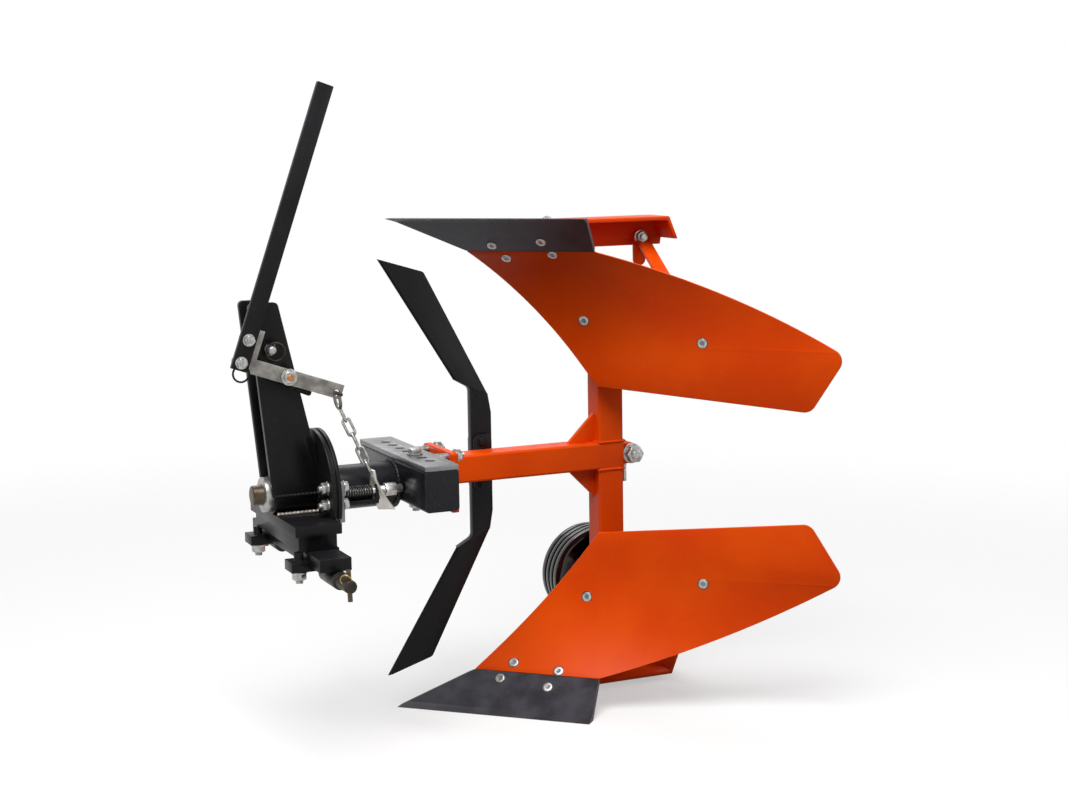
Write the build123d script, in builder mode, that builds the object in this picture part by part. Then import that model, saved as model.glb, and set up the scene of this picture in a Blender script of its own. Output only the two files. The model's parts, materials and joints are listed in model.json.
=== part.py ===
"""One-furrow turn-over plough for a small tractor's three-point linkage.

X runs rearward from the lower link pins, Y to the machine's right, Z up.
Every piece is drawn about the turn-over axis, and then lifted to the height
that this axis has above the lower link pins.
"""
import os
from math import cos, radians, sin, sqrt, tan

from build123d import *

# Setting of the machine, in millimetres and degrees
sole_depth = 446.0
running_clearance = 0.05
seat_gap = 0.3

# Headstock: mast, housing and lower hitch
plate_thickness = 10.0
mast_gap = 48.0
mast_height = 325.0
mast_rear_height = 49.0
mast_corner_radius = 8.0
mast_top_front = -91.5
mast_top_rear = -42.0
mast_bottom_front = -61.0
top_link_x = -58.0
top_link_height = 248.0
top_link_hole_radius = 10.0
housing_radius = 33.0
housing_front = -56.0
disc_front = 20.0
disc_thickness = 16.0
disc_radius = 105.0
disc_groove_width = 4.0
disc_groove_depth = 6.0
disc_shaft_gap = 1.0
base_front = -54.0
base_rear = 26.0
base_half_width = 130.0
base_upper_thickness = 18.0
base_lower_thickness = 26.0
base_lower_inset = 7.0
crossbar_width = 54.0
crossbar_thickness = 22.0
crossbar_length = 382.0
crossbar_centre_x = -7.0
pin_radius = 11.0
pin_reach = 48.0
pin_chamfer = 2.0
pin_boss_radius = 15.0
pin_boss_length = 74.0
pin_boss_end = 4.0
clamp_plate_width = 40.0
clamp_plate_reach = 30.0
clamp_lip_depth = 20.0
clamp_lip_thickness = 8.0
clamp_plate_rise = 9.0
clamp_bolt_radius = 8.0
clamp_bolt_gap = 4.0
clamp_bolt_end = 16.0
clamp_inset = 13.0

# Turning shaft and cross tube
shaft_radius = 25.0
collar_radius = 30.0
collar_length = 14.0
stub_radius = 17.0
stub_length = 18.0
torque_tube_radius = 38.0
torque_tube_gap = 8.0
torque_tube_length = 117.0
cross_tube_depth = 60.0
cross_tube_length = 326.0
cross_tube_bottom = -26.0
cross_tube_top = 44.0
cross_tube_wall = 6.0
cross_tube_corner = 6.0
cross_cap_thickness = 4.0
top_plate_thickness = 8.0
top_plate_corner = 3.0
top_plate_hole_radius = 9.0
top_plate_hole_spacing = 36.0
top_plate_hole_count = 7

# Lock: bracket, rod and pull strip behind the disc
lock_plate_thickness = 10.0
lock_plate_inner = 48.0
lock_plate_width = 40.0
lock_plate_half_height = 34.0
lock_plate_drop = 9.0
flat_plate_corner = 4.0
lock_offset = 55.0
lock_rod_radius = 7.0
lock_tip_gap = 2.0
bracket_width = 22.0
bracket_thickness = 6.0
bracket_tail_room = 48.0
bracket_ear_height = 12.0
bracket_floor_gap = 2.0
spring_radius = 11.0
spring_wire_radius = 1.7
spring_sleeve = 1.2
spring_end_gap = 1.0
spring_turns = 9
lock_hole_play = 1.0
lock_nut_radius = 12.0
lock_nut_length = 20.0
strip_thickness = 4.0
strip_width = 24.0
strip_top = 35.0
strip_bottom = -38.0
strip_lean = 22.0
strip_gap = 1.0
strip_foot = 20.0
strip_foot_rise = 3.0
strip_eye_radius = 8.0
strip_eye_inset = 11.0

# Release lever and chain
lever_lean = 19.5
lever_pivot_x = -32.0
lever_pivot_height = 202.5
lever_pivot_radius = 6.0
lever_standoff = 10.0
lever_spacer_wall = 5.0
lever_overhang = 3.0
crank_thickness = 8.0
crank_arm_width = 25.0
crank_arm_reach = 97.0
crank_heel_reach = 98.0
crank_upright_width = 37.0
crank_upright_height = 60.5
lever_width = 28.5
lever_thickness = 10.0
lever_length = 486.0
lever_drop = 12.5
chain_wire_radius = 2.4
chain_link_length = 36.0
shackle_length = 44.0
chain_link_width = 17.0
loop_width = 23.0
chain_play = 0.4
chain_eye_slack = 2.2
chain_eye_radius = 6.0
chain_eye_inset = 9.0

# Beam, leg and wheel carrier
beam_offset = 51.0
beam_width = 50.0
beam_height = 50.0
beam_wall = 5.0
beam_corner = 5.0
beam_length = 325.0
flange_thickness = 12.0
flange_near = -62.0
flange_half_height = 52.0
flange_shoulder = 66.0
flange_far_half_height = 32.0
clamp_block_depth = 28.0
clamp_block_side_inset = 20.0
clamp_block_edge_inset = 7.0
leg_depth = 50.0
leg_wall = 6.0
leg_half_height = 345.0
gusset_reach = 54.0
gusset_thickness = 10.0
wheel_pin_setback = 19.0
wheel_pin_radius = 12.5
wheel_pin_near_reach = 13.0
wheel_pin_end = 4.0
lug_length = 44.0
stop_screw_radius = 4.0
stop_screw_length = 34.0
stop_screw_inset = 4.0

# Ploughing bodies
share_angle = 43.5
tip_advance = 377.0
tip_y = 136.0
share_length = 369.0
share_top_start = 125.0
share_top_end = 364.0
share_thickness = 8.0
lip_width = 20.0
lip_height = 7.0
face_angle = 44.0
share_face_height = 61.0
board_thickness = 6.0
board_flat_end = 85.0
board_radius = 256.0
board_joint_gap = 0.5
tail_top_reach = 729.0
tail_top_height = 347.0
tail_bottom_reach = 792.0
tail_bottom_height = 247.0
tail_corner_radius = 22.0
shin_top_reach = 339.0
shin_top_height = 311.0
shin_bow = 6.0
wing_bow = 15.0
outline_margin = 20.0
frog_thickness = 10.0
frog_start = 178.0
frog_end = 400.0
frog_sole_end = 330.0
frog_rise = 16.0
frog_bottom = 12.0
frog_inset = 24.0
frog_front_setback = 32.0
frog_shoulder = 168.0
rib_height = 190.0
rib_thickness = 10.0
rib_start = 280.0
rib_end = 385.0
rib_bite = 2.0
seat_end = 350.0
web_width = 38.0
sole_plate_height = 16.0
sole_plate_thickness = 10.0
landside_thickness = 10.0
landside_height = 55.0
landside_front_setback = 150.0
landside_front_rake = 40.0
landside_tail = 104.0
landside_rake = 17.0
landside_heel_height = 42.0
landside_heel_cut = 2.0
landside_rise = 11.0
landside_flange_depth = 66.0
landside_flange_lead = 26.0
landside_flange_thickness = 7.0
strut_thickness = 8.0
strut_width = 26.0
strut_heel_setback = 77.0
strut_heel_height = 50.0
strut_board_t = 536.0
strut_board_height = 228.0

# Knives ahead of the bodies
knife_thickness = 15.0
knife_blade_thickness = 11.0
knife_setback = 231.0
knife_shank_width = 40.0
knife_neck_drop = 137.0
knife_throat_reach = 30.0
knife_throat_drop = 154.0
knife_point_reach = 169.0
knife_point_drop = 377.0
knife_heel_reach = 84.0
knife_heel_drop = 351.0
knife_back_inset = 6.0
knife_back_drop = 125.0
knife_back_top = 90.0
knife_neck_radius = 12.0
knife_heel_radius = 10.0
knife_edge_bevel = 4.0
knife_pad_thickness = 6.0
knife_clamp_thickness = 8.0
knife_clamp_half_height = 52.0
knife_clamp_inset = 4.0
knife_clamp_corner = 12.0

# Depth wheel
wheel_radius = 94.0
wheel_width = 62.0
wheel_drop = 262.0
wheel_rim_thickness = 12.0
wheel_web_thickness = 12.0
wheel_hub_radius = 26.0
wheel_groove_depth = 4.0
wheel_groove_width = 6.0
wheel_groove_spacing = 16.0
wheel_groove_count = 3
wheel_rim_overlap = 1.0
wheel_bore_radius = 10.0
wheel_side_gap = 8.0
axle_end = 6.0
arm_thickness = 12.0
arm_width = 44.0
arm_sleeve_radius = 21.0
arm_sleeve_length = 82.0
arm_side_gap = 5.0

# Places worked out from the sizes above
disc_rear = disc_front + disc_thickness
mast_outer = mast_gap / 2 + plate_thickness
base_top = -housing_radius - seat_gap
base_bottom = base_top - base_upper_thickness - base_lower_thickness
crossbar_top = base_bottom
clamp_spacing = base_half_width - clamp_inset
pin_drop = crossbar_thickness + pin_boss_radius - crossbar_top
torque_tube_front = disc_rear + torque_tube_gap
cross_tube_front = torque_tube_front + torque_tube_length
cross_tube_rear = cross_tube_front + cross_tube_depth
cross_tube_x = (cross_tube_front + cross_tube_rear) / 2
flange_front = cross_tube_rear + clamp_block_depth
beam_far = beam_offset + beam_width
beam_front = flange_front + flange_thickness
leg_front = beam_front + beam_length
leg_rear = leg_front + leg_depth
lock_face = disc_rear + lock_plate_thickness
bracket_length = torque_tube_length - bracket_tail_room
strip_slope = strip_lean / (strip_top - strip_bottom)
strip_x = lock_face + bracket_length + strip_gap - strip_slope * (strip_top - bracket_ear_height)
lock_nut_front = strip_x + strip_slope * (strip_top + lock_nut_radius) + strip_thickness + seat_gap
knife_near = beam_far + knife_pad_thickness
knife_far = knife_near + knife_thickness
sleeve_near = beam_far + arm_side_gap
arm_far = sleeve_near + arm_sleeve_length
wheel_near = arm_far + wheel_side_gap
wheel_far = wheel_near + wheel_width
wheel_pin_x = leg_rear + wheel_pin_setback
wheel_pin_near = beam_offset - wheel_pin_near_reach
wheel_middle = (wheel_near + wheel_far) / 2
tip_x = leg_front - tip_advance
knife_front = leg_front - knife_setback
knife_rear = knife_front + knife_shank_width

axis_place = Pos(0, 0, pin_drop)
angle = radians(share_angle)
along_edge = Vector(cos(angle), -sin(angle), 0)
behind_edge = Vector(sin(angle), cos(angle), 0)
share_tip = Vector(tip_x, tip_y, -sole_depth)
face = radians(face_angle)


def side_plane(y):
    """Plane seen from the left side of the machine; it extrudes towards -Y."""
    return Plane.XZ.offset(-y)


def write(piece, label):
    """Lift a finished piece to its height in the machine and store it."""
    placed = axis_place * piece
    placed.label = label
    export_step(placed, "parts/" + label + ".step")


def body_point(t, s, z):
    """Point of the lower body: t along the share edge, s behind it, z above the sole."""
    return share_tip + along_edge * t + behind_edge * s + Vector(0, 0, z)


def write_pair(piece, label):
    """Store a lower body's piece and its mirror image on the upper body."""
    write(piece, label + "_lower")
    write(mirror(piece, about=Plane.XY), label + "_upper")


os.makedirs("parts", exist_ok=True)

# Mast plates stand on the pivot housing and carry the top link between them
def mast_plate(y_outer):
    with BuildPart() as plate:
        with BuildSketch(side_plane(y_outer)):
            with BuildLine():
                Polyline(
                    (mast_bottom_front, 0),
                    (mast_top_front, mast_height),
                    (mast_top_rear, mast_height),
                    (disc_front, mast_rear_height),
                    (disc_front, 0),
                    close=True,
                )
            make_face()
        extrude(amount=plate_thickness)
        top_edges = plate.edges().filter_by(Axis.Y).sort_by(Axis.Z)[-2:]
        fillet(top_edges, radius=mast_corner_radius)
        with Locations(Location((0, 0, 0), (0, 90, 0))):
            Cylinder(housing_radius + seat_gap, 2 * mast_height, mode=Mode.SUBTRACT)
        with BuildSketch(side_plane(y_outer)):
            with Locations((top_link_x, top_link_height)):
                Circle(top_link_hole_radius)
            with Locations((lever_pivot_x, lever_pivot_height)):
                Circle(lever_pivot_radius + running_clearance)
        extrude(amount=plate_thickness, mode=Mode.SUBTRACT)
    return plate.part


write(mast_plate(-mast_gap / 2), "mast_plate_left")
write(mast_plate(mast_outer), "mast_plate_right")

# Housing that the turning shaft runs in
with BuildPart() as pivot_housing:
    with BuildSketch(Plane.YZ.offset(housing_front)):
        Circle(housing_radius)
        Circle(shaft_radius + running_clearance, mode=Mode.SUBTRACT)
    extrude(amount=disc_front - housing_front)
write(pivot_housing.part, "pivot_housing")

# Index disc with a grooved rim, flat where it stands on the base plate
with BuildPart() as index_disc:
    with BuildSketch(Plane.YZ.offset(disc_front)):
        Circle(disc_radius)
        Circle(shaft_radius + disc_shaft_gap, mode=Mode.SUBTRACT)
    extrude(amount=disc_thickness)
    with BuildSketch(Plane.YZ.offset(disc_front + (disc_thickness - disc_groove_width) / 2)):
        Circle(disc_radius + disc_groove_depth)
        Circle(disc_radius - disc_groove_depth, mode=Mode.SUBTRACT)
    extrude(amount=disc_groove_width, mode=Mode.SUBTRACT)
    split(bisect_by=Plane.XY.offset(base_top), keep=Keep.TOP)
write(index_disc.part, "index_disc")

# Base plates under the housing
base_x = (base_front + base_rear) / 2
base_depth = base_rear - base_front
base_width = 2 * base_half_width
with BuildPart() as base_plate:
    with BuildSketch(Plane.XY.offset(base_top - base_upper_thickness)):
        with Locations((base_x, 0)):
            Rectangle(base_depth, base_width)
    extrude(amount=base_upper_thickness)
    with BuildSketch(Plane.XY.offset(base_bottom)):
        with Locations((base_x, 0)):
            Rectangle(base_depth - 2 * base_lower_inset, base_width - 2 * base_lower_inset)
    extrude(amount=base_lower_thickness)
write(base_plate.part, "base_plate")

# Crossbar with the lower link pins under its ends
with BuildPart() as hitch_crossbar:
    with BuildSketch(Plane.XY.offset(crossbar_top - crossbar_thickness)):
        with Locations((crossbar_centre_x, 0)):
            Rectangle(crossbar_width, crossbar_length)
    extrude(amount=crossbar_thickness)
write(hitch_crossbar.part, "hitch_crossbar")


def link_pin(side):
    """Lower link pin and the boss it is turned from, on the left (-1) or the right (+1)."""
    boss_outer = crossbar_length / 2 + pin_boss_end
    with BuildPart() as pin:
        with BuildSketch(Plane.XZ.offset(-side * boss_outer)):
            with Locations((0, -pin_drop)):
                Circle(pin_boss_radius)
        extrude(amount=side * pin_boss_length)
        with BuildSketch(Plane.XZ.offset(-side * boss_outer)):
            with Locations((0, -pin_drop)):
                Circle(pin_radius)
        extrude(amount=-side * pin_reach)
        end_edges = pin.edges().filter_by(GeomType.CIRCLE).sort_by(Axis.Y)
        chamfer(end_edges[-1] if side > 0 else end_edges[0], length=pin_chamfer)
    return pin.part


write(link_pin(-1), "lower_link_pin_left")
write(link_pin(1), "lower_link_pin_right")

# Clamps that hook under the crossbar, each hung on a stud from the base plate
bar_front = crossbar_centre_x - crossbar_width / 2
bar_bottom = crossbar_top - crossbar_thickness
clamp_bolt_x = bar_front - clamp_bolt_radius - clamp_bolt_gap
with BuildPart() as crossbar_clamps:
    for y in (-clamp_spacing, clamp_spacing):
        with BuildSketch(side_plane(y + clamp_plate_width / 2)):
            with BuildLine():
                Polyline(
                    (bar_front - clamp_plate_reach, bar_bottom - clamp_lip_thickness),
                    (bar_front + clamp_lip_depth, bar_bottom - clamp_lip_thickness),
                    (bar_front + clamp_lip_depth, bar_bottom),
                    (bar_front - seat_gap, bar_bottom),
                    (bar_front - seat_gap, bar_bottom + clamp_plate_rise),
                    (bar_front - clamp_plate_reach, bar_bottom + clamp_plate_rise),
                    close=True,
                )
            make_face()
        extrude(amount=clamp_plate_width)
    with BuildSketch(Plane.XY.offset(bar_bottom - clamp_lip_thickness - clamp_bolt_end)):
        with Locations((clamp_bolt_x, -clamp_spacing), (clamp_bolt_x, clamp_spacing)):
            Circle(clamp_bolt_radius)
    extrude(amount=base_bottom - bar_bottom + clamp_lip_thickness + clamp_bolt_end)
write(crossbar_clamps.part, "crossbar_clamps")

# Lock plate on the disc, and the bracket that carries the spring-loaded rod
with BuildPart() as lock_plate:
    with BuildSketch(Plane.YZ.offset(disc_rear)):
        with Locations((-lock_plate_inner - lock_plate_width / 2, -lock_plate_drop)):
            RectangleRounded(lock_plate_width, 2 * lock_plate_half_height, flat_plate_corner)
    extrude(amount=lock_plate_thickness)
write(lock_plate.part, "lock_plate")

bracket_floor = -spring_radius - bracket_floor_gap
with BuildPart() as lock_bracket:
    with BuildSketch(side_plane(-lock_offset + bracket_width / 2)):
        with BuildLine():
            Polyline(
                (lock_face, bracket_floor - bracket_thickness),
                (lock_face + bracket_length, bracket_floor - bracket_thickness),
                (lock_face + bracket_length, bracket_ear_height),
                (lock_face + bracket_length - bracket_thickness, bracket_ear_height),
                (lock_face + bracket_length - bracket_thickness, bracket_floor),
                (lock_face + bracket_thickness, bracket_floor),
                (lock_face + bracket_thickness, bracket_ear_height),
                (lock_face, bracket_ear_height),
                close=True,
            )
        make_face()
    extrude(amount=bracket_width)
    with BuildSketch(Plane.YZ.offset(lock_face)):
        with Locations((-lock_offset, 0)):
            Circle(lock_rod_radius + running_clearance)
    extrude(amount=bracket_length, mode=Mode.SUBTRACT)
write(lock_bracket.part, "lock_bracket")

# Lock rod with its nut, drawn back just clear of the cross tube
with BuildPart() as lock_rod:
    with BuildSketch(Plane.YZ.offset(lock_face + seat_gap)):
        with Locations((-lock_offset, 0)):
            Circle(lock_rod_radius)
    extrude(amount=cross_tube_front - lock_tip_gap - lock_face - seat_gap)
    with BuildSketch(Plane.YZ.offset(lock_nut_front)):
        with Locations((-lock_offset, 0)):
            RegularPolygon(lock_nut_radius, 6)
    extrude(amount=lock_nut_length)
write(lock_rod.part, "lock_rod")

# Coil spring on the rod, drawn as a rippled sleeve
spring_front = lock_face + bracket_thickness + spring_end_gap
spring_length = bracket_length - 2 * (bracket_thickness + spring_end_gap)
spring_pitch = spring_length / spring_turns
with BuildPart() as lock_spring:
    with BuildSketch(Plane.XZ):
        with Locations((spring_front + spring_length / 2, spring_radius - spring_wire_radius)):
            with GridLocations(spring_pitch, 0, spring_turns, 1):
                Circle(spring_wire_radius)
        with Locations((spring_front + spring_length / 2, lock_rod_radius + spring_sleeve)):
            Rectangle(spring_length - spring_pitch, spring_sleeve)
    revolve(axis=Axis.X)
write(Pos(0, -lock_offset, 0) * lock_spring.part, "lock_spring")

# Bent strip behind the bracket that the chain pulls to draw the rod back
with BuildPart() as pull_strip:
    with BuildSketch(side_plane(-lock_offset + strip_width / 2)):
        with BuildLine():
            Polyline(
                (strip_x, strip_top),
                (strip_x + strip_lean, strip_bottom),
                (strip_x + strip_lean + strip_foot, strip_bottom + strip_foot_rise),
                (strip_x + strip_lean + strip_foot, strip_bottom + strip_foot_rise + strip_thickness),
                (strip_x + strip_lean + strip_thickness, strip_bottom + strip_thickness),
                (strip_x + strip_thickness, strip_top),
                close=True,
            )
        make_face()
    extrude(amount=strip_width)
    with BuildSketch(Plane.YZ.offset(lock_face)):
        with Locations((-lock_offset, 0)):
            Circle(lock_rod_radius + lock_hole_play)
        with Locations((-lock_offset, strip_top - strip_eye_inset)):
            Circle(strip_eye_radius)
    extrude(amount=torque_tube_length, mode=Mode.SUBTRACT)
write(pull_strip.part, "pull_strip")

# Bell crank, hand lever and the bolt they turn on
crank_face = -(mast_outer + lever_standoff)
crank_plane = Plane(
    origin=(lever_pivot_x, crank_face, lever_pivot_height),
    x_dir=(cos(radians(lever_lean)), 0, -sin(radians(lever_lean))),
    z_dir=(0, -1, 0),
)
half_arm = crank_arm_width / 2
with BuildPart() as bell_crank:
    with BuildSketch(crank_plane):
        with BuildLine():
            Polyline(
                (-crank_heel_reach, -half_arm),
                (crank_arm_reach, -half_arm),
                (crank_arm_reach, half_arm),
                (crank_upright_width - crank_heel_reach, half_arm),
                (crank_upright_width - crank_heel_reach, crank_upright_height),
                (-crank_heel_reach, crank_upright_height),
                close=True,
            )
        make_face()
        with Locations((0, 0)):
            Circle(lever_pivot_radius + running_clearance, mode=Mode.SUBTRACT)
        with Locations((crank_arm_reach - chain_eye_inset, -half_arm + chain_eye_inset)):
            Circle(chain_eye_radius, mode=Mode.SUBTRACT)
    extrude(amount=crank_thickness)
write(bell_crank.part, "bell_crank")

with BuildPart() as hand_lever:
    with BuildSketch(crank_plane.offset(crank_thickness)):
        with Locations((lever_width / 2 - crank_heel_reach - lever_overhang, lever_length / 2 - lever_drop)):
            Rectangle(lever_width, lever_length)
    extrude(amount=lever_thickness)
write(hand_lever.part, "hand_lever")

with BuildPart() as lever_pivot:
    with BuildSketch(side_plane(mast_outer)):
        with Locations((lever_pivot_x, lever_pivot_height)):
            Circle(lever_pivot_radius)
    extrude(amount=2 * mast_outer + lever_standoff + crank_thickness)
    with BuildSketch(side_plane(-mast_outer)):
        with Locations((lever_pivot_x, lever_pivot_height)):
            Circle(lever_pivot_radius + lever_spacer_wall)
    extrude(amount=lever_standoff)
write(lever_pivot.part, "lever_pivot")

# Shackle, links and a long wire loop between the bell crank and the pull strip
def chain_link(centre, direction, flat, length, width):
    """One stadium-shaped link: its long axis along direction, its plane containing flat."""
    link_plane = Plane(origin=centre, x_dir=direction, z_dir=direction.cross(flat))
    half_straight = (length - width) / 2
    half_width = width / 2
    with BuildPart() as link:
        with BuildLine(link_plane) as path:
            Line((-half_straight, half_width), (half_straight, half_width))
            ThreePointArc((half_straight, half_width), (length / 2, 0), (half_straight, -half_width))
            Line((half_straight, -half_width), (-half_straight, -half_width))
            ThreePointArc((-half_straight, -half_width), (-length / 2, 0), (-half_straight, half_width))
        with BuildSketch(Plane(origin=path.line @ 0, z_dir=path.line % 0)):
            Circle(chain_wire_radius)
        sweep(path=path.line)
    return link.part


crank_eye_x = crank_arm_reach - chain_eye_inset
crank_eye_z = chain_eye_inset - half_arm
crank_eye = crank_plane.from_local_coords(Vector(crank_eye_x, crank_eye_z, crank_thickness / 2))
strip_eye_x = strip_x + strip_slope * strip_eye_inset + strip_thickness / 2
strip_eye = Vector(strip_eye_x, -lock_offset, strip_top - strip_eye_inset)
chain_run = strip_eye - crank_eye
chain_direction = chain_run.normalized()
across = chain_direction.cross(Vector(0, 1, 0)).normalized()
sideways = across.cross(chain_direction).normalized()
link_overlap = 2 * chain_wire_radius + chain_play
half_link = chain_link_width / 2
crank_seat = chain_eye_radius - chain_wire_radius - 2 * chain_play
crank_seat -= half_link - (half_link**2 - (crank_thickness / 2) ** 2) ** 0.5
strip_seat = strip_eye_radius - chain_wire_radius - chain_eye_slack
short_links = [shackle_length, chain_link_length, chain_link_length]
taut_length = chain_run.length - crank_seat - strip_seat
loop_length = taut_length + link_overlap * len(short_links) - sum(short_links)
link_start = crank_seat
lock_chain = []
for number, length in enumerate(short_links + [loop_length]):
    middle = crank_eye + chain_direction * (link_start + length / 2)
    flat = across if number % 2 else sideways
    width = chain_link_width if number < len(short_links) else loop_width
    lock_chain.append(chain_link(middle, chain_direction, flat, length, width))
    link_start += length - link_overlap
write(Compound(children=lock_chain), "lock_chain")

# Turning shaft, with its front collar, and the torque tube behind the disc
with BuildPart() as turning_shaft:
    with BuildSketch(Plane.YZ.offset(housing_front - seat_gap)):
        Circle(shaft_radius)
    extrude(amount=torque_tube_front - housing_front + seat_gap)
    with BuildSketch(Plane.YZ.offset(housing_front - seat_gap)):
        Circle(collar_radius)
    extrude(amount=-collar_length)
    with BuildSketch(Plane.YZ.offset(housing_front - seat_gap - collar_length)):
        Circle(stub_radius)
    extrude(amount=-stub_length)
    chamfer(turning_shaft.edges().filter_by(GeomType.CIRCLE).sort_by(Axis.X)[0], length=pin_chamfer)
write(turning_shaft.part, "turning_shaft")

with BuildPart() as torque_tube:
    with BuildSketch(Plane.YZ.offset(torque_tube_front)):
        Circle(torque_tube_radius)
    extrude(amount=cross_tube_front - torque_tube_front)
write(torque_tube.part, "torque_tube")

# Cross tube that the beam shifts along, its end caps and its drilled top plate
cross_height = cross_tube_top - cross_tube_bottom
cross_middle = (cross_tube_top + cross_tube_bottom) / 2
cross_inner = cross_tube_length / 2 - cross_cap_thickness
cross_inside_depth = cross_tube_depth - 2 * cross_tube_wall
cross_inside_height = cross_height - 2 * cross_tube_wall
with BuildPart() as cross_tube:
    with BuildSketch(Plane.XZ.offset(-cross_inner)):
        with Locations((cross_tube_x, cross_middle)):
            RectangleRounded(cross_tube_depth, cross_height, cross_tube_corner)
            Rectangle(cross_inside_depth, cross_inside_height, mode=Mode.SUBTRACT)
    extrude(amount=2 * cross_inner)
    with BuildSketch(Plane.YZ.offset(cross_tube_front)):
        with Locations((-lock_offset, 0), (lock_offset, 0)):
            Circle(lock_rod_radius + lock_hole_play)
    extrude(amount=cross_tube_wall, mode=Mode.SUBTRACT)
write(cross_tube.part, "cross_tube")

with BuildPart() as cross_tube_caps:
    for y in (-cross_inner, cross_inner + cross_cap_thickness):
        with BuildSketch(Plane.XZ.offset(-y)):
            with Locations((cross_tube_x, cross_middle)):
                RectangleRounded(cross_tube_depth, cross_height, cross_tube_corner)
        extrude(amount=cross_cap_thickness)
write(cross_tube_caps.part, "cross_tube_caps")

with BuildPart() as cross_top_plate:
    with BuildSketch(Plane.XY.offset(cross_tube_top)):
        with Locations((cross_tube_x, 0)):
            RectangleRounded(cross_tube_depth, cross_tube_length, top_plate_corner)
            with GridLocations(0, top_plate_hole_spacing, 1, top_plate_hole_count):
                Circle(top_plate_hole_radius, mode=Mode.SUBTRACT)
    extrude(amount=top_plate_thickness)
write(cross_top_plate.part, "cross_top_plate")

# Clamp between cross tube and beam: a rear flange and the block behind the tube
flange_middle = (flange_near + flange_shoulder) / 2
flange_width = flange_shoulder - flange_near
block_height = cross_height - 2 * clamp_block_edge_inset
with BuildPart() as beam_flange:
    with BuildSketch(Plane.YZ.offset(flange_front)):
        with BuildLine():
            Polyline(
                (flange_near, -flange_half_height),
                (flange_shoulder, -flange_half_height),
                (beam_far, -flange_far_half_height),
                (beam_far, flange_far_half_height),
                (flange_shoulder, flange_half_height),
                (flange_near, flange_half_height),
                close=True,
            )
        outline = make_face()
        fillet(outline.vertices(), radius=flat_plate_corner)
    extrude(amount=flange_thickness)
write(beam_flange.part, "beam_flange")

with BuildPart() as clamp_block:
    with BuildSketch(Plane.YZ.offset(cross_tube_rear)):
        with Locations((flange_middle, cross_middle)):
            Rectangle(flange_width - 2 * clamp_block_side_inset, block_height)
    extrude(amount=flange_front - cross_tube_rear)
write(clamp_block.part, "clamp_block")

# Beam and leg, both square tube, with gussets in their corners
beam_middle = (beam_offset + beam_far) / 2
with BuildPart() as beam:
    with BuildSketch(Plane.YZ.offset(beam_front)):
        with Locations((beam_middle, 0)):
            RectangleRounded(beam_width, beam_height, beam_corner)
            Rectangle(beam_width - 2 * beam_wall, beam_height - 2 * beam_wall, mode=Mode.SUBTRACT)
    extrude(amount=leg_front - beam_front)
write(beam.part, "beam")

with BuildPart() as leg:
    with BuildSketch(Plane.XY.offset(-leg_half_height)):
        with Locations(((leg_front + leg_rear) / 2, beam_middle)):
            RectangleRounded(leg_depth, beam_width, beam_corner)
            Rectangle(leg_depth - 2 * leg_wall, beam_width - 2 * leg_wall, mode=Mode.SUBTRACT)
    extrude(amount=2 * leg_half_height)
write(leg.part, "leg")

with BuildPart() as gussets:
    for side in (-1, 1):
        with BuildSketch(Plane.XZ.offset(-beam_middle - gusset_thickness / 2)):
            with BuildLine():
                Polyline(
                    (leg_front, side * beam_height / 2),
                    (leg_front - gusset_reach, side * beam_height / 2),
                    (leg_front, side * (beam_height / 2 + gusset_reach)),
                    close=True,
                )
            make_face()
        extrude(amount=gusset_thickness)
write(gussets.part, "gussets")

# Lug and pin behind the leg that the wheel arm swings on
lug_near = beam_far - lug_length
with BuildPart() as wheel_lug:
    with BuildSketch(side_plane(beam_far)):
        with BuildLine():
            Polyline(
                (leg_rear, -wheel_pin_setback),
                (wheel_pin_x, -wheel_pin_setback),
                (wheel_pin_x, wheel_pin_setback),
                (leg_rear, wheel_pin_setback),
                close=True,
            )
        make_face()
        with Locations((wheel_pin_x, 0)):
            Circle(wheel_pin_setback)
        with Locations((wheel_pin_x, 0)):
            Circle(wheel_pin_radius + running_clearance, mode=Mode.SUBTRACT)
    extrude(amount=lug_length)
write(wheel_lug.part, "wheel_lug")

with BuildPart() as wheel_pin:
    with BuildSketch(side_plane(arm_far + wheel_pin_end)):
        with Locations((wheel_pin_x, 0)):
            Circle(wheel_pin_radius)
    extrude(amount=arm_far + wheel_pin_end - wheel_pin_near)
write(wheel_pin.part, "wheel_pin")

with BuildPart() as stop_screw:
    with BuildSketch(Plane.XY.offset(-wheel_pin_setback - stop_screw_length)):
        with Locations((leg_rear + 2 * stop_screw_radius, lug_near + stop_screw_radius + stop_screw_inset)):
            Circle(stop_screw_radius)
    extrude(amount=stop_screw_length)
write(stop_screw.part, "stop_screw")

# Profile of a body across the share edge: s behind the edge, z above the sole
profile_plane = Plane(origin=share_tip, x_dir=behind_edge, z_dir=along_edge)
outline_depth = board_radius + board_flat_end
outline_plane = Plane(origin=share_tip + behind_edge * outline_depth, x_dir=along_edge, z_dir=-behind_edge)
slope = tan(face)
share_heel_s = lip_width + (share_thickness - lip_height * cos(face)) / sin(face)
share_top_s = lip_width + (share_face_height - lip_height) / slope
board_flat_z = lip_height + (board_flat_end - lip_width) * slope
arc_centre = (board_flat_end - board_radius * sin(face), board_flat_z + board_radius * cos(face))


def board_arc_point(radius, degrees):
    """Point of the rolled part of the board, at a slope angle of its face."""
    return (arc_centre[0] + radius * sin(radians(degrees)), arc_centre[1] - radius * cos(radians(degrees)))


def face_point(s, depth):
    """Point of the flat face at distance s behind the edge, and depth behind the face."""
    return (s + depth * sin(face), lip_height + (s - lip_width) * slope - depth * cos(face))


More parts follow.
